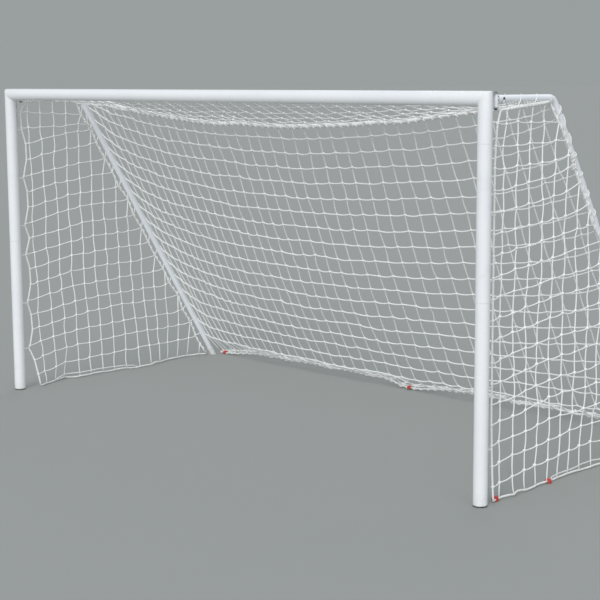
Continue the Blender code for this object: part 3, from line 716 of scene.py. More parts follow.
# %% Hinge sleeves
SLEEVE_SIDES = 48
SLEEVE_SHOWN = 0.006
SLEEVE_LIP = 0.0006
ARM_RADIUS = 0.0095
ARM_LENGTH = 0.066

for label, side in SIDES.items():
    node = f"{label}_hinge_sleeve"
    low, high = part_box(node)
    bore, edge = PIN_RADIUS + GAP, SLEEVE_RADIUS - SLEEVE_LIP
    end = [(SLEEVE_SHOWN, bore), (0, bore), (0, edge), (SLEEVE_LIP, SLEEVE_RADIUS)]
    shape = bmesh.new()
    turned(shape, side_point(side, FOLD_Y, low.z), Z_AXIS, X_AXIS,
           end + far_end(end, high.z - low.z), SLEEVE_SIDES)
    start = side_point(side, FOLD_Y + SLEEVE_SHOWN, BAR_Z)
    arm = [(0, ARM_RADIUS), (ARM_LENGTH, ARM_RADIUS), (ARM_LENGTH, SPIGOT),
           (high.y - start.y, SPIGOT)]
    turned(shape, start, Y_AXIS, X_AXIS, arm, SLEEVE_SIDES)
    add_piece(f"{label}_turning_sleeve", shape, "white_stay_paint", FOLDING[label], node)

# %% [markdown]
# ## Bolts across the top bars
#
# A hexagon head starts as a circle of six sides. Its edges are broken before the washer
# under it and the shank through the bar are added, so that they keep their own.

# %% Bar bolts
BOLT_HEAD = [(0.0012, 0.0058), (0.0042, 0.0058)]
BOLT_WASHER = [(0, 0.0065), (0.0010, 0.0068), (0.0014, 0.0064)]
SHANK = [(0, 0.003), (2 * STAY_RADIUS - 0.004, 0.003)]

for label, side in SIDES.items():
    node = f"{label}_bar_bolt"
    centre = middle(node)
    outward = X_AXIS * side
    seat = Vector((side * (POST_X + STAY_RADIUS - 0.0004), centre.y, centre.z))
    inner = Vector((side * (POST_X - STAY_RADIUS + 0.0020), centre.y, centre.z))
    shape = bmesh.new()
    turned(shape, seat, outward, Y_AXIS, BOLT_HEAD, HEX_SIDES)
    soften(shape, sharp_edges(shape), 0.0006)
    turned(shape, seat, outward, Y_AXIS, BOLT_WASHER, ROUND_SIDES)
    turned(shape, inner, outward, Y_AXIS, SHANK, 24)
    add_piece(f"{label}_hex_bolt", shape, "dark_hinge_steel", FOLDING[label], node)

# %% [markdown]
# ## Couplers
#
# The short steel tubes inside the joints already have their right shape in the packed
# model, and only slivers of them can ever be seen. They stay, and take the plated finish.

# %% Finish the couplers
couplers = [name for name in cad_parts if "_coupler" in name]
for name in couplers:
    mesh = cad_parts[name].data
    mesh.materials.clear()
    mesh.materials.append(materials["zinc_plated_steel"])
print("couplers kept", len(couplers))

# %% [markdown]
# ## The net's plan
#
# The net is made of square meshes, a hand's breadth wide, and hung on the frame.
# Its rows run from a post along the side, round the stay and across the back. Where a
# net is hung by its edges it sags in the middle, most in its upper rows. So a knot's
# place is a formula of its column and row, and a smooth noise pulls it out of line, the
# way no real net hangs true. Cloth simulation was left aside: loose twine hardly bends
# the meshes, and a formula can be matched to the picture.

# %% Rows
ROWS = 19
TWINE = 0.0033
BACK_TWINE = 0.0040
ROPE = 0.0052
REACH = STAY_RADIUS + TWINE + 0.0012  # from the stay's axis to a strand on its skin
ROW_SPREAD = 2.14
ROW_EASE = 1.07
EDGE_LIFT = 0.095
HEM_Z = 0.010
FIRST_ROW_Z = 1.853
ROW_PITCH = 0.0985
ROW_CROWD = 0.012


def wander(point, seed, size):
    """A smooth offset of up to about `size`, the same for the same point and seed."""
    return noise.noise_vector(point * 3.1 + Vector((seed * 7.3, seed * 1.7, seed * 4.1))) * size


def row_share(row):
    """How far down the stay a row reaches it, in metres: the upper meshes hang closer."""
    return ROW_SPREAD * (row / ROWS) ** ROW_EASE


def edge_share(row):
    """Where a row of the back ends on the stay: it climbs to there in its last meshes."""
    return row_share(row) - EDGE_LIFT * min(row / 2, 1) * (1 - (row / ROWS) ** 6)


def row_height(row):
    """Height of a row at the post."""
    if row == ROWS:
        return HEM_Z
    return FIRST_ROW_Z - ROW_PITCH * row - ROW_CROWD * math.sin(math.pi * row / ROWS)


print("rows at the post", [round(row_height(row), 2) for row in (0, 9, 18)])

# %% [markdown]
# ## Knots of the back
#
# Two pegs at the corners and one in the middle hold the hem to the ground, and between
# them it lies loose and a little raised. More net than the slope needs is bunched there,
# so two more rows of knots lie on the hem.

# %% The back hem
HEM_LOOSE = 0.060
HEM_LIFT = 0.028
PEG_SPAN = 0.20
PEG_RADIUS = 0.006
HOOK_RADIUS = 0.0098
BACK_PEGS = ("back_peg_left", "back_peg_middle", "back_peg_right")
PEG_XS = [middle(node).x for node in BACK_PEGS]
HOOK_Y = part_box("back_peg_middle")[0].y + PEG_RADIUS + HOOK_RADIUS


def peg_hold(x):
    """1 at a peg of the back hem, and 0 from a quarter of a metre away."""
    return math.exp(-(min(abs(x - peg) for peg in PEG_XS) / PEG_SPAN) ** 2)


def back_hem(x):
    """The hem behind the goal: held by the pegs, and raised and further back between."""
    free = 1 - peg_hold(x)
    loose = 0.6 + noise.noise(Vector((x * 5.5, 3.0, 1.0)))
    return Vector((x, HOOK_Y + HEM_LOOSE * loose * free, HEM_Z + HEM_LIFT * free))


print("hem held at x", [round(x, 2) for x in PEG_XS], "and y", round(HOOK_Y, 3))

# %% Back knots
BACK_COLUMNS = 40
NET_DROP = 0.070
EDGE_DROP = 0.025
EDGE_DROP_ROWS = 3
EDGE_SPAN = 0.12
NET_BELLY = 0.130
NET_SKEW = 0.24
HEAD_TUCK = 0.008
BACK_START = 0.012
FOLD_BEHIND = 0.030
FOLD_SHIFTS = (Vector((-0.02, -0.010, 0.011)), Vector((0.02, 0.006, 0.017)))


def back_knot(column, row):
    """A knot of the back: it drops, bellies in towards the mouth, and drifts aside."""
    across = 2 * column / BACK_COLUMNS - 1
    at_edge = math.exp(-(1 - abs(across)) / EDGE_SPAN)
    depth = row_share(row) + (edge_share(row) - row_share(row)) * at_edge
    edge = stay_point(BACK_START + depth) + OUT * (REACH - (0 if row else HEAD_TUCK))
    if row == ROWS:
        edge = Vector((0, HOOK_Y, HEM_Z))
    hanging = (1 - across ** 2) * (1 - (row / ROWS) ** 3)
    place = edge + X_AXIS * across * POST_X
    drop = NET_DROP + EDGE_DROP * math.exp(-row / EDGE_DROP_ROWS)
    place -= (Z_AXIS * drop + OUT * NET_BELLY) * hanging
    place.x -= NET_SKEW * depth * (1 - across ** 2)
    if 0 < column < BACK_COLUMNS:
        place += wander(place, 1, 0.010) + wander(place * 4, 2, 0.006)
    if row == ROWS:
        place = back_hem(place.x)
    place.z = max(place.z, HEM_Z)
    return place


def gathered(place, fold):
    """Surplus meshes lie bunched on the back hem: two more knots before the hem itself."""
    behind = Y_AXIS * FOLD_BEHIND * peg_hold(place.x)
    return place + FOLD_SHIFTS[fold] + behind + wander(place * 5, 40 + fold, 0.008)


columns = range(BACK_COLUMNS + 1)
back = {(c, r): back_knot(c, r) for c in columns for r in range(ROWS + 1)}
print("back knots", len(back))

# %% [markdown]
# ## Knots of the top
#
# The top panel runs from the crossbar's back to the first row of the back. It is short
# and nearly level, so its knots lie between those two lines and sag only a little.

# %% Top knots
TOP_ROWS = 5
TOP_FRONT = 0.040
TOP_UNDER = 0.022
TOP_EDGE_Y = 0.065
TOP_EDGE_START = 0.125
TOP_PITCH = 0.100
TOP_SAG = 0.012
TOP_EDGE_PART = 0.9
TOP_EDGE_DROP = 0.004


def top_knot(column, row):
    across = 2 * column / BACK_COLUMNS - 1
    share = row / TOP_ROWS
    between = 0 < row < TOP_ROWS
    rear = back_knot(column, 0)
    front = Vector((rear.x, FRONT_Y + TOP_FRONT, BAR_Z - TOP_UNDER))
    place = front.lerp(rear, share)
    if between and abs(across) > TOP_EDGE_PART:
        place.y = FRONT_Y + TOP_EDGE_Y + TOP_PITCH * row
    if column in (0, BACK_COLUMNS) and row < TOP_ROWS:
        place.x = math.copysign(POST_X - REACH, across)
        place.y = max(place.y, FRONT_Y + TOP_EDGE_START)
        place.z = BAR_Z - TOP_EDGE_DROP
    elif between:
        place += wander(place * 2, 5, 0.008)
        place.z -= TOP_SAG * math.sin(math.pi * share)
    return place


top = {(c, r): top_knot(c, r) for c in columns for r in range(TOP_ROWS + 1)}
print("top knots", len(top))

# %% [markdown]
# ## Rows of the sides
#
# A side panel is ruled by its rows: each starts on the cord behind the post, rises and
# ends at the stay, the lower ones about half a mesh early, which pulls them up. One tie
# near the stay's top gathers the rows on both sides of it into a bunch. The upright
# columns keep a steady pitch and stop where they meet the stay.

# %% Side rows
EDGE_Y = 0.075
SIDE_FIRST = 0.060
SIDE_PITCH = 0.0955
SIDE_RISE = {"left": 0.33, "right": 0.42}
SIDE_LEAD = 0.6
LEAD_ROWS = 4
SIDE_START = 0.030
TIE_ROW = {"left": 2.4, "right": 3.5}
TIE_PULL = 0.62
TIE_SPREAD = 1.3
CORD_TIES = 0.27
CORD_GAP = 0.004
CORD_LOOSE = 0.020
HEM_SHORT = 0.045


def side_share(label, row):
    """How far down the stay a row of a side ends: those near the tie are bunched there."""
    share = row_share(row - SIDE_LEAD * min(row / LEAD_ROWS, 1))
    tie = row_share(TIE_ROW[label] - SIDE_LEAD * TIE_ROW[label] / LEAD_ROWS)
    pull = TIE_PULL * math.exp(-((row - TIE_ROW[label]) / TIE_SPREAD) ** 2)
    return share + (tie - share) * pull


def row_end(label, row):
    """Where a side row meets the cord in front of the stay."""
    if row == ROWS:
        return Vector((0, STAY_FOOT.y - HEM_SHORT, HEM_Z))
    distance = SIDE_START + side_share(label, row)
    loose = CORD_LOOSE * abs(math.sin(math.pi * distance / CORD_TIES))
    return stay_point(distance) - OUT * (STAY_RADIUS + CORD_GAP + loose)


def climb(label, distance):
    """How much of its rise a side row has made at a distance behind the front cord."""
    return 1 - math.exp(-(max(distance, 0) / SIDE_RISE[label]) ** 1.25)


def side_y(column):
    """The columns stand at a steady pitch, but the first is nearer to the front cord."""
    ahead = SIDE_FIRST + SIDE_PITCH * (column - 1) if column else 0
    return FRONT_Y + EDGE_Y + ahead


for label in SIDES:
    print(label, "rows end at z", [round(row_end(label, row).z, 2) for row in (1, 3, 9, 18)])

# %% [markdown]
# ## Where a side's knots lie
#
# On the ground a side's hem wanders in and out, and the stops below follow it in the
# picture: each is a distance behind the post and one from the goal's middle. The lowest
# meshes lean over to the hem. A part of each row's rise comes only at its end, because
# the tie and the wrap round the stay pull it up there.

# %% A point of a side
HEMS = {
    "left": ((0.07, 1.850), (0.10, 1.815), (0.27, 1.885), (0.42, 1.950), (0.48, 1.885),
             (0.73, 1.889), (0.87, 1.875), (1.00, 1.840), (1.12, 1.864), (1.25, 1.915),
             (1.48, 1.930), (1.60, 1.880)),
    "right": ((0.07, 1.885), (0.105, 1.863), (0.25, 1.887), (0.37, 1.868), (0.525, 1.863),
              (0.70, 1.850), (0.93, 1.862), (1.20, 1.880), (1.45, 1.872), (1.60, 1.865)),
}
STAY_ZONE = 0.16
LATE_RISE = 0.12
TIED_RISE = 0.40
TIED_ROWS = 7
PROUD_ROWS = 2.5
LEAN_HEIGHT = 0.5


def side_place(label, y, row):
    """A point of a side panel on a row, at a distance y."""
    end = row_end(label, row)
    start_y = FRONT_Y + EDGE_Y
    share = climb(label, y - start_y) / climb(label, end.y - start_y)
    late = TIED_RISE if label == "right" and row < TIED_ROWS else LATE_RISE
    near_stay = min(max(1 - (end.y - y) / STAY_ZONE, 0), 1)
    low = row_height(row)
    height = low + (end.z - low) * (share * (1 - late) + near_stay ** 2 * late)
    across = (y - start_y) / (end.y - start_y)
    x = POST_X + min(REACH * max(across, 1 - row / PROUD_ROWS, 0), REACH)
    hem_x = float(np.interp(y - FRONT_Y, *zip(*HEMS[label])))
    x += (hem_x - x) * max(0, 1 - height / LEAN_HEIGHT) ** 2
    return Vector((SIDES[label] * x, y, height))


for label in SIDES:
    lowest = side_place(label, side_y(4), ROWS)
    print(label, "hem at x", round(lowest.x, 3), "by the fourth column")

# %% [markdown]
# ## Where a side hangs slack
#
# The rope under the top bar droops most behind the post. The left panel hangs slack
# between its clips, and draws back towards its lower front corner, where nothing holds
# it. Both are shifts that are added to a knot's place, so the rows keep their shape.

# %% Slack of the head rope and the left panel
HEAD_DROP = 0.018
HEAD_SLACK = 0.035
HEAD_SPAN = 0.42
FREE_ROW = 8
CORNER_BACK = 0.060
CLIP_SLACK = 0.032
CLIP_HEIGHTS = sorted(middle(f"left_net_clip_{number}").z for number in range(1, 7))


def head_height(y):
    """The rope under the top bar hangs most just behind the post."""
    return BAR_Z - HEAD_DROP - HEAD_SLACK * max(0, 1 - (y - FRONT_Y - EDGE_Y) / HEAD_SPAN)


def slack_front(label, column, row):
    """How far the left panel hangs behind its place: low down, and between its clips."""
    if label == "right" or row == 0:
        return 0
    if column:
        return CORNER_BACK * max(0, (row - FREE_ROW) / (ROWS - FREE_ROW)) ** 1.5
    height = row_height(row)
    lower = [clip for clip in CLIP_HEIGHTS if clip < height]
    upper = CLIP_HEIGHTS[len(lower):]
    if not lower:
        return CORNER_BACK * (1 - height / upper[0]) ** 0.7
    if not upper:
        return 0
    return CLIP_SLACK * math.sin(math.pi * (height - lower[-1]) / (upper[0] - lower[-1]))


print("left clips at z", [round(z, 2) for z in CLIP_HEIGHTS])

# %% Side knots
KNOT_FLOOR = 0.008
LAST_MESH = 0.030  # how near to the stay's cord a column may still stand
HEAD_START = 0.108
HEAD_END = 0.030
BESIDE = 0.004  # the cords under the top bar lie this far out from the bar's middle


def bar_point(side, y, z):
    return Vector((side * (POST_X + BESIDE), y, z))


def side_knot(label, column, row):
    y = side_y(column) + slack_front(label, column, row)
    place = side_place(label, y, row)
    seed = 11 if label == "left" else 17
    if 0 < row < ROWS and column > 0:
        place += wander(place, seed, 0.014)
        place += wander(place * 4, seed + 1, 0.008)
    if row == 0:
        place.z = head_height(y)
    place.z = max(place.z, KNOT_FLOOR)
    return place


def panel(label):
    """The knots of a side panel by column and row, and the end of each row."""
    knots = {}
    for row in range(ROWS + 1):
        last = row_end(label, row).y - LAST_MESH
        column = 0
        while side_y(column) + slack_front(label, column, row) < last:
            knots[column, row] = side_knot(label, column, row)
            column += 1
    side, head_y = SIDES[label], FRONT_Y + HEAD_START
    knots[0, 0] = bar_point(side, head_y, head_height(head_y))
    ends = [side_place(label, row_end(label, row).y, row) for row in range(ROWS + 1)]
    ends[0] = bar_point(side, STAY_TOP.y - HEAD_END, head_height(STAY_TOP.y))
    return knots, ends


panels = {label: panel(label) for label in SIDES}
print("side knots", {label: len(knots) for label, (knots, ends) in panels.items()})

# %% [markdown]
# ## Laying the twine
#
# A strand is a list of points. Between two knots it hangs a little and bows to one side,
# so a few points are put in between. The strands of a panel become one curve object with
# a round bevel, because that is how a cord is drawn fastest, and then a mesh, whose UV
# map is stretched to metres for the twist.

# %% Strand helpers
STEPS = 4
SHORTEST = 0.03
STRAND_FLOOR = 0.006
STEP_CORNERS = 24  # six sides of four corners between two points of a strand


def slack(points, hang, bow, seed):
    """Puts points between the knots, hanging by a share of their distance."""
    line = [points[0]]
    for before, after in zip(points, points[1:]):
        length = (after - before).length
        if length < SHORTEST:
            line.append(after)
            continue
        aside = noise.noise_vector(before * 23 + Vector((seed, 0, 0)))
        for step in range(1, STEPS):
            share = step / STEPS
            belly = 4 * share * (1 - share)
            shift = aside * bow * belly - Z_AXIS * hang * length * belly
            line.append(before.lerp(after, share) + shift)
        line.append(after)
    for point in line:
        point.z = max(point.z, STRAND_FLOOR)
    return line


def length_of(line):
    return sum((after - before).length for before, after in zip(line, line[1:]))


def twine_mesh(name, lines, radius):
    """Sweeps all lines with a small circle and gives a bmesh with UVs in metres."""
    curve = bpy.data.curves.new(name, "CURVE")
    curve.dimensions = "3D"
    curve.bevel_depth = radius
    curve.bevel_resolution = 1
    curve.use_fill_caps = True
    for line in lines:
        spline = curve.splines.new("POLY")
        spline.points.add(len(line) - 1)
        spline.points.foreach_set("co", [value for point in line for value in (*point, 1.0)])
    holder = place_object(name, curve)
    bpy.context.view_layer.update()
    drawn = holder.evaluated_get(bpy.context.evaluated_depsgraph_get())
    mesh = bpy.data.meshes.new_from_object(drawn)
    bpy.data.objects.remove(holder)
    flat = mesh.uv_layers[0]
    values = np.zeros(2 * len(flat.data), dtype=np.float32)
    flat.data.foreach_get("uv", values)
    values = values.reshape(-1, 2)
    first = len(values) - sum((len(line) - 1) * STEP_CORNERS for line in lines)
    for line in lines:
        last = first + (len(line) - 1) * STEP_CORNERS
        values[first:last, 0] *= length_of(line)
        first = last
    flat.data.foreach_set("uv", values.ravel())
    flat.name = "twine"
    shape = bmesh.new()
    shape.from_mesh(mesh)
    bpy.data.meshes.remove(mesh)
    bmesh.ops.remove_doubles(shape, verts=shape.verts, dist=1e-5)
    return shape


def add_strands(name, lines, radius, body, *stands_for):
    shape = twine_mesh(name, lines, radius)
    return add_piece(name, shape, "white_net_twine", body, *stands_for, round_all=True)


# %% [markdown]
# ## Tying the knots
#
# Where two strands cross they are tied, and the knot is a lump a bit wider than two
# strands. There are more than a thousand, so one is a sphere of a few dozen faces, pulled
# longer one way and turned at random. They are made in batches, because an operator
# takes longer the more a bmesh already holds.

# %% Knot helper
KNOT_SIZE = 2.35
KNOT_STRETCH = Vector((1.25, 0.85, 1.0))
KNOT_BATCH = 40
KNOT_TWIST = 0.03


def add_knots(name, places, body):
    whole = bmesh.new()
    for first in range(0, len(places), KNOT_BATCH):
        shape = bmesh.new()
        flat = shape.loops.layers.uv.new("twine")
        for place in places[first:first + KNOT_BATCH]:
            turn = noise.noise_vector(place * 31).to_track_quat("Z", "Y")
            bmesh.ops.create_uvsphere(
                shape, u_segments=8, v_segments=5, radius=TWINE * KNOT_SIZE,
                matrix=Matrix.LocRotScale(place, turn, KNOT_STRETCH), calc_uvs=True)
        for face in shape.faces:
            for loop in face.loops:
                loop[flat].uv.x *= KNOT_TWIST
        batch = bpy.data.meshes.new("knot_batch")
        shape.to_mesh(batch)
        shape.free()
        whole.from_mesh(batch)
        bpy.data.meshes.remove(batch)
    return add_piece(name, whole, "white_net_twine", body, round_all=True)


# %% [markdown]
# ## The back and the top
#
# The back and top panels hang from both side frames at once. When the sides fold in, the
# real net crumples against the goal mouth; here these pieces ride on the front frame, each
# with a mesh of its own. A blend between two bodies would follow only one of the sides.

# %% Back and top panels
ROW_HANG = 0.045
ROW_BOW = 0.006
FOLDS = range(2)


def crumple(piece):
    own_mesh(piece)


lines = [slack([back[c, r] for c in columns], ROW_HANG, ROW_BOW, r) for r in range(1, ROWS)]
folds = {(c, fold): gathered(back[c, ROWS], fold) for c in columns for fold in FOLDS}
for column in columns:
    run = [back[column, row] for row in range(ROWS)]
    if 0 < column < BACK_COLUMNS:
        run += [folds[column, fold] for fold in FOLDS]
    lines.append(slack(run + [back[column, ROWS]], 0.0, 0.007, 50 + column))
for fold in FOLDS:
    lines.append(slack([folds[c, fold] for c in columns[1:-1]], 0.03, 0.012, 40 + fold))
crumple(add_strands("back_net_strands", lines, BACK_TWINE, FRONT, "back_net"))
inside = [back[c, r] for c in columns for r in range(1, ROWS)]
inside += [folds[c, fold] for c in columns[1:-1] for fold in FOLDS]
crumple(add_knots("back_net_knots", inside, FRONT))

between = range(1, TOP_ROWS)
lines = [slack([top[c, r] for c in columns], ROW_HANG, ROW_BOW, 90 + r) for r in between]
for column in columns:
    run = [top[column, row] for row in range(TOP_ROWS + 1)]
    lines.append(slack(run, 0.02, ROW_BOW, 130 + column))
crumple(add_strands("top_net_strands", lines, TWINE, FRONT, "top_net"))
crumple(add_knots("top_net_knots", [top[c, r] for c in columns for r in between], FRONT))

# %% [markdown]
# ## Ropes and lacing
#
# Thicker ropes edge the net along the crossbar, the rear edge and the hem. The top panel
# is sewn to the back with a cord that winds round the rear rope, which makes that edge
# the densest line of the net. Winding a line round another one is a helper of its own,
# because the top bars and the stays are laced in the same way.

# %% Ropes along the crossbar, the rear edge and the back hem
LACE = 0.0026
REAR_ROPE = 0.0125
LACE_STEPS = 8
REAR_WINDING = (REAR_ROPE + LACE * 0.6, 0.050, 0.15)  # radius, pitch and looseness
HEM_WINDING = (ROPE + LACE, 0.055, 0.4)


def along_line(line, distance):
    """The point and direction at a distance along a line of points."""
    for before, after in zip(line, line[1:]):
        length = (after - before).length
        if distance <= length:
            return before.lerp(after, distance / length), (after - before).normalized()
        distance -= length
    return line[-1].copy(), (line[-1] - line[-2]).normalized()


def lacing(line, radius, pitch, loose):
    """A cord that winds round a line, in turns of the given pitch."""
    wound = []
    for step in range(int(length_of(line) / pitch * LACE_STEPS)):
        point, along = along_line(line, step * pitch / LACE_STEPS)
        across = along.cross(Z_AXIS).normalized()
        angle = 2 * math.pi * step / LACE_STEPS + 0.6 * noise.noise(point * 17)
        wide = radius * (1 + loose * noise.noise(point * 29))
        out = point + (across * math.cos(angle) + along.cross(across) * math.sin(angle)) * wide
        out.z = max(out.z, LACE + 0.001)
        wound.append(out)
    return wound


front = slack([top[c, 0] for c in columns[1:-1]], 0.0, 0.001, 170)
rear = slack([back[c, 0] for c in columns], 0.008, 0.002, 171)
hem = slack([back[c, ROWS] for c in columns], 0.0, 0.004, 172)
sewn = [lacing(rear, *REAR_WINDING), lacing(hem, *HEM_WINDING)]
crumple(add_strands("net_head_rope", [front, hem], ROPE, FRONT))
crumple(add_strands("net_rear_rope", [rear], REAR_ROPE, FRONT))
crumple(add_strands("net_edge_lacing", sewn, LACE, FRONT))

# %% [markdown]
# ## The sides' strands
#
# Each side folds with its stay, so its panel rides on that stay's body. A row goes on
# past the cord in front of the stay, over the stay's outer face and round behind it,
# where the back panel takes it up. Running each row on as one strand avoids a visible
# start and stop at the stay.

# %% Side strands
WRAP = ((-60, 1.0), (-30, 0.75), (0, 0.5), (30, 0.25), (60, 0.0))  # degrees and lag
WRAP_DROP = 0.8


def over_stay(label, row):
    """Points of a row's way round the outer face of the stay, to a row of the back."""
    side = SIDES[label]
    drop = WRAP_DROP * (side_share(label, row) - edge_share(row))
    points = []
    for degrees, lag in WRAP:
        angle = math.radians(degrees)
        round_it = X_AXIS * side * math.cos(angle) + OUT * math.sin(angle)
        distance = BACK_START + edge_share(row) + drop * lag
        points.append(stay_point(distance, side) + round_it * REACH)
    return points + [back[0 if side < 0 else BACK_COLUMNS, row]]


def row_knots(knots, row):
    return [knots[key] for key in sorted(knots) if key[1] == row]


def column_line(label, column):
    """A column, with the point between two row ends where it comes off the stay."""
    knots, ends = panels[label]
    keys = sorted(key for key in knots if key[0] == column)
    points = [knots[key] for key in keys]
    row = keys[0][1]
    head = []
    if row:
        above, below = row_end(label, row - 1).y, row_end(label, row).y
        share = (points[0].y - above) / (below - above)
        head = [ends[row - 1].lerp(ends[row], min(max(share, 0), 1))]
    return head + slack(points, 0.0, 0.008, 260 + column)


for label in SIDES:
    knots, ends = panels[label]
    lines = []
    for row in range(1, ROWS):
        line = slack([*row_knots(knots, row), ends[row]], 0.040, 0.007, 200 + row)
        lines.append(line + over_stay(label, row))
    most = max(column for column, row in knots)
    lines += [column_line(label, column) for column in range(1, most + 1)]
    add_strands(f"{label}_net_strands", lines, TWINE, FOLDING[label], f"{label}_net")
    inside = [place for (column, row), place in knots.items() if 0 < row < ROWS]
    add_knots(f"{label}_net_knots", inside, FOLDING[label])

# %% [markdown]
# ## The sides' cords
#
# A cord runs down behind the post, one under the top bar, one in front of the stay and
# one in the hem. Thin lacing winds round the top bar, the head cord, the stay's cord, the
# seam under the bar and the bunch at the tie. A spare strand of each hem lies beside it,
# because a hem has more net than it needs.

# %% Spare strands of the hems
SPARE_PART = {"left": slice(8, 36), "right": slice(22, 62)}
SPARE_APART = 0.020
SPARE_BASE = 0.004
SPARE_LIFT = {"left": 0.026, "right": 0.012}


def spare_hem(label, hem):
    """A second, slack strand that leaves the hem, lies beside it and comes back."""
    lying = hem[SPARE_PART[label]]
    line = []
    for index, point in enumerate(lying):
        apart = math.sin(math.pi * index / (len(lying) - 1)) ** 0.5
        wide = SPARE_APART * (1 + noise.noise(point * 6.0))
        shift = SIDES[label] * wide * apart
        lift = SPARE_BASE + SPARE_LIFT[label] * apart
        line.append(Vector((point.x - shift, point.y, max(point.z, HEM_Z) + lift)))
    return line


# %% Lacing of the top bars and the ties
BAR_PITCH = 0.11
BAR_STEPS = 12
BAR_LACING_START = 0.035
BAR_HUG = STAY_RADIUS + LACE * 0.6


def bar_lacing(side):
    """A cord that winds round the top bar, the head rope and the top panel's edge."""
    start, end = FOLD_Y + BAR_LACING_START, STAY_TOP.y - BEND_TANGENT
    steps = round((end - start) / BAR_PITCH) * BAR_STEPS
    wound = []
    for step in range(steps + 1):
        y = start + (end - start) * step / steps
        angle = 2 * math.pi * step / BAR_STEPS
        bottom = head_height(y) - ROPE - LACE
        tall = (BAR_Z + BAR_HUG - bottom) / 2
        wound.append(side_point(side, y, bottom + tall)
                     + Vector((math.cos(angle) * side * BAR_HUG, 0, math.sin(angle) * tall)))
    return wound


def tied_bunch(label, ends):
    """The stretch of the stay's cord where the rows are gathered."""
    row = int(TIE_ROW[label])
    first = ends[row - 1].lerp(ends[row], 0.7)
    last = ends[row + 1].lerp(ends[row + 2], 0.3)
    return slack([first, ends[row], ends[row + 1], last], 0.0, 0.010, 305)


# %% Side cords
CORD_WINDING = (0.0072, 0.045, 0.4)
HEAD_WINDING = (0.0072, 0.024, 0.4)
SEAM_WINDING = (0.0065, 0.021, 0.5)
TIE_WINDINGS = ((0.012, 0.017, 0.7), (0.009, 0.026, 0.7))
SEAM_Z = BAR_Z - STAY_RADIUS - 0.002
SEAM_YS = (FOLD_Y + 0.05, STAY_TOP.y - BEND_TANGENT)

for label, side in SIDES.items():
    knots, ends = panels[label]
    held = [knots[0, row] for row in range(ROWS + 1)]
    if label == "left":
        held += [side_point(side, FOLD_Y, z) for z in CLIP_HEIGHTS]
    front = slack(sorted(held, key=lambda point: -point.z), 0.0, 0.001, 300)
    head = slack([*row_knots(knots, 0), ends[0]], 0.0, 0.002, 301)
    stay_cord = slack(ends, 0.0, 0.006, 302)
    hem = slack([*row_knots(knots, ROWS), ends[ROWS]], 0.0, 0.014, 303)
    add_strands(f"{label}_net_ropes", [front, head, stay_cord, hem], ROPE, FOLDING[label])
    bunch = tied_bunch(label, ends)
    seam = [bar_point(side, y, SEAM_Z) for y in SEAM_YS]
    laced = [bar_lacing(side), lacing(head, *HEAD_WINDING), lacing(stay_cord, *CORD_WINDING),
             lacing(seam, *SEAM_WINDING), *(lacing(bunch, *winding) for winding in TIE_WINDINGS)]
    add_strands(f"{label}_net_lacing", laced, LACE, FOLDING[label])
    add_strands(f"{label}_net_spare", [spare_hem(label, hem)], TWINE, FOLDING[label])

# %% [markdown]
# ## Net clips on the posts
#
# A clip is a small moulding: a pad on the post's back, a neck, and a hook that snaps
# round the net's front cord. The hook is a flat bar spun most of the way round the cord.

# %% Post clips
CLIP_HEIGHT = 0.010
CLIP_EDGE = 0.0008
CLIP_MOUTH = math.radians(62)
HOOK_INNER = 0.0046
HOOK_WALL = 0.0028
HOOK_MIDDLE = HOOK_INNER + HOOK_WALL / 2


def block(shape, centre, size):
    """A box with broken edges."""
    place = Matrix.LocRotScale(Vector(centre), None, Vector(size))
    made = bmesh.ops.create_cube(shape, size=1, matrix=place)
    soften(shape, edges_at(made["verts"]), CLIP_EDGE)


def hook(shape):
    """A flat bar spun round the Z axis, from one lip of the mouth to the other."""
    start = Vector((math.sin(CLIP_MOUTH / 2), math.cos(CLIP_MOUTH / 2), 0))
    section = Matrix.Diagonal((HOOK_WALL, CLIP_HEIGHT, 1, 1))
    made = bmesh.ops.create_grid(
        shape, x_segments=1, y_segments=1, size=0.5,
        matrix=ring(start * HOOK_MIDDLE, start, Z_AXIS) @ section)
    face = made["verts"][0].link_faces[0]
    spun = bmesh.ops.spin(
        shape, geom=[face, *face.edges, *face.verts], cent=Vector((0, 0, 0)), axis=Z_AXIS,
        angle=CLIP_MOUTH - 2 * math.pi, steps=18, use_duplicate=False)
    bmesh.ops.contextual_create(shape, geom=pick(spun["geom_last"], bmesh.types.BMEdge))


def add_clip(name, seat, cord, axis, *stands_for):
    """A pad on the tube at `seat`, a neck, and a hook round the cord along `axis`."""
    shape = bmesh.new()
    away = (cord - seat).length
    neck = away - HOOK_MIDDLE
    block(shape, (0, 0.0016 - away, 0), (0.016, 0.0034, CLIP_HEIGHT))
    block(shape, (0, neck / 2 - away, 0), (0.0055, neck, CLIP_HEIGHT * 0.9))
    hook(shape)
    outward = (cord - seat).normalized()
    facing = Matrix((outward.cross(axis), outward, axis)).transposed().to_4x4()
    bmesh.ops.transform(shape, matrix=Matrix.Translation(cord) @ facing, verts=shape.verts)
    add_piece(name, shape, "white_moulded_plastic", FRONT, *stands_for)


for label, side in SIDES.items():
    for number in range(1, 7):
        node = f"{label}_net_clip_{number}"
        z = middle(node).z
        seat = side_point(side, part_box(node)[0].y, z)
        add_clip(f"{label}_cord_clip_{number}", seat, side_point(side, FOLD_Y, z), Z_AXIS, node)

# %% [markdown]
# ## Net clips on the crossbar
#
# The front rope of the top panel runs low behind the crossbar, out of sight from the front.
# The same clips carry it, turned so that their pads sit on the tube's rear underside. They
# stand as close to each other as those on the posts.

# %% Crossbar clips
CLIP_COUNT = 12
CLIP_SPREAD = 0.93
TO_ROPE = Vector((0, TOP_FRONT, -TOP_UNDER))

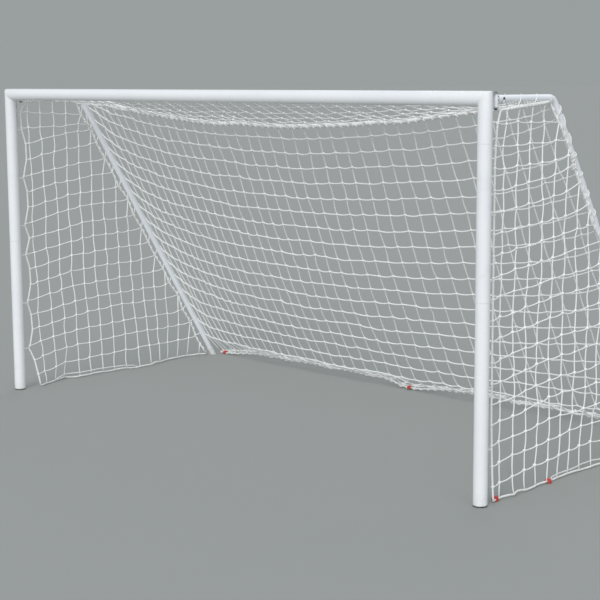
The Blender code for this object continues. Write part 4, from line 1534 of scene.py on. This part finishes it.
for number in range(CLIP_COUNT):
    x = POST_X * CLIP_SPREAD * (2 * number / (CLIP_COUNT - 1) - 1)
    axis_point = Vector((x, FRONT_Y, BAR_Z))
    seat = axis_point + TO_ROPE.normalized() * (TUBE_RADIUS - GAP)
    add_clip(f"crossbar_cord_clip_{number + 1}", seat, axis_point + TO_ROPE, X_AXIS)

# %% [markdown]
# ## Pegs
#
# A peg is a moulded bar bent into a hook over the hem. Its oval rings follow the hook, and
# the leg goes into the ground where the hook ends. A small collar marks how deep it goes.

# %% Ground pegs
PEG_WIDE = 2.2
PEG_SIDES = 24
PEG_COLLAR = PEG_RADIUS + 0.0014
PEG_LEG = ((0.0, PEG_RADIUS), (0.003, PEG_RADIUS), (0.0045, PEG_COLLAR), (0.0062, PEG_COLLAR),
           (0.0078, PEG_RADIUS))
PEG_TIP = ((0.0060, PEG_RADIUS), (0.0046, PEG_RADIUS * 0.85), (0.0040, PEG_RADIUS * 0.5))
PEG_STEPS = 16


def add_peg(node, outward, body):
    across = outward.cross(Z_AXIS)
    centre = middle(node)
    centre.z = HEM_Z

    def oval(point, along, radius):
        return ring(point, across * radius * PEG_WIDE, along.cross(across) * radius)

    def upright(foot, along, profile):
        return [oval(Vector((foot.x, foot.y, z)), along, radius) for z, radius in profile]

    rings = upright(centre + outward * HOOK_RADIUS, Z_AXIS, PEG_LEG)
    for step in range(PEG_STEPS + 1):
        angle = math.pi * step / PEG_STEPS
        radial = outward * math.cos(angle) + Z_AXIS * math.sin(angle)
        along = Z_AXIS * math.cos(angle) - outward * math.sin(angle)
        rings.append(oval(centre + radial * HOOK_RADIUS, along, PEG_RADIUS))
    rings += upright(centre - outward * HOOK_RADIUS, -Z_AXIS, PEG_TIP)
    shape = bmesh.new()
    skin_over(shape, rings, PEG_SIDES)
    add_piece(f"{node}_hook", shape, "red_peg_plastic", body, node)


for node in BACK_PEGS:
    add_peg(node, Y_AXIS, FRONT)
for node in ("side_peg_front", "side_peg_middle"):
    add_peg(node, X_AXIS, FOLDING["right"])

# %% [markdown]
# ## The studio
#
# The goal stands on a plain floor in soft light. A strong lamp on the front right models
# the round tubes, a weaker one fills from the right, one behind on the left lights the
# back of the net, and an even sky lifts the shadows. The floor and the sky show a calm,
# mid-pale grey to the camera, so that the white twine stays readable in front of them.

# %% Floor
FLOOR_SIZE = 400
FLOOR_TONE = (0.33, 0.34, 0.325)

floor_shape = bmesh.new()
bmesh.ops.create_grid(floor_shape, x_segments=1, y_segments=1, size=FLOOR_SIZE)
floor_mesh = bpy.data.meshes.new("floor")
floor_shape.to_mesh(floor_mesh)
floor_shape.free()
place_object("floor", floor_mesh)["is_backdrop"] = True
_, matte = new_material("pale_floor")
matte.inputs["Base Color"].default_value = (*FLOOR_TONE, 1.0)
matte.inputs["Roughness"].default_value = 1.0
matte.inputs["Specular IOR Level"].default_value = 0.1
floor_mesh.materials.append(materials["pale_floor"])

# %% Sky
SKY_LIGHT = (0.86, 0.93, 1.0)
SKY_STRENGTH = 0.60
SKY_SEEN = (0.323, 0.347, 0.347)

world = bpy.data.worlds.new("studio_sky")
bpy.context.scene.world = world
world.use_nodes = True
tree = world.node_tree
sky = tree.nodes["Background"]
sky.inputs["Color"].default_value = (*SKY_LIGHT, 1.0)
sky.inputs["Strength"].default_value = SKY_STRENGTH
seen = add_node(tree, "ShaderNodeBackground", {"Color": (*SKY_SEEN, 1.0)})
rays = add_node(tree, "ShaderNodeLightPath").outputs
clear = maths(tree, "MAXIMUM", rays["Is Glossy Ray"], rays["Is Transmission Ray"])
shown = maths(tree, "MAXIMUM", rays["Is Camera Ray"], clear)
choice = add_node(tree, "ShaderNodeMixShader", {
    "Fac": shown, 1: sky.outputs["Background"], 2: seen.outputs["Background"]})
feed(tree, tree.nodes["World Output"].inputs["Surface"], choice.outputs["Shader"])
print("sky light", SKY_LIGHT, "seen as", SKY_SEEN)

# %% Lamps
LAMPS = {
    "key": ((0.35, -0.85, 0.50), 35, 1.70),
    "fill": ((1.00, -0.45, 0.35), 50, 0.50),
    "rear": ((-0.40, 0.90, 0.80), 60, 0.65),
}
for name, (towards, softness, strength) in LAMPS.items():
    lamp = bpy.data.lights.new(f"{name}_lamp", "SUN")
    lamp.angle = math.radians(softness)
    lamp.energy = strength
    holder = place_object(f"{name}_lamp", lamp)
    holder.rotation_euler = Vector(towards).to_track_quat("Z", "Y").to_euler()
bpy.context.scene.view_settings.view_transform = "Standard"
print("lamps", sorted(LAMPS))

# %% [markdown]
# ## The size of the dressed goal
#
# The dressed goal has to stay as large as the imported one. The last line prints the box
# round every shown piece, without the floor.

# %% Finish
low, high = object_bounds()
print("box", [round(value, 4) for value in (*low, *high)])
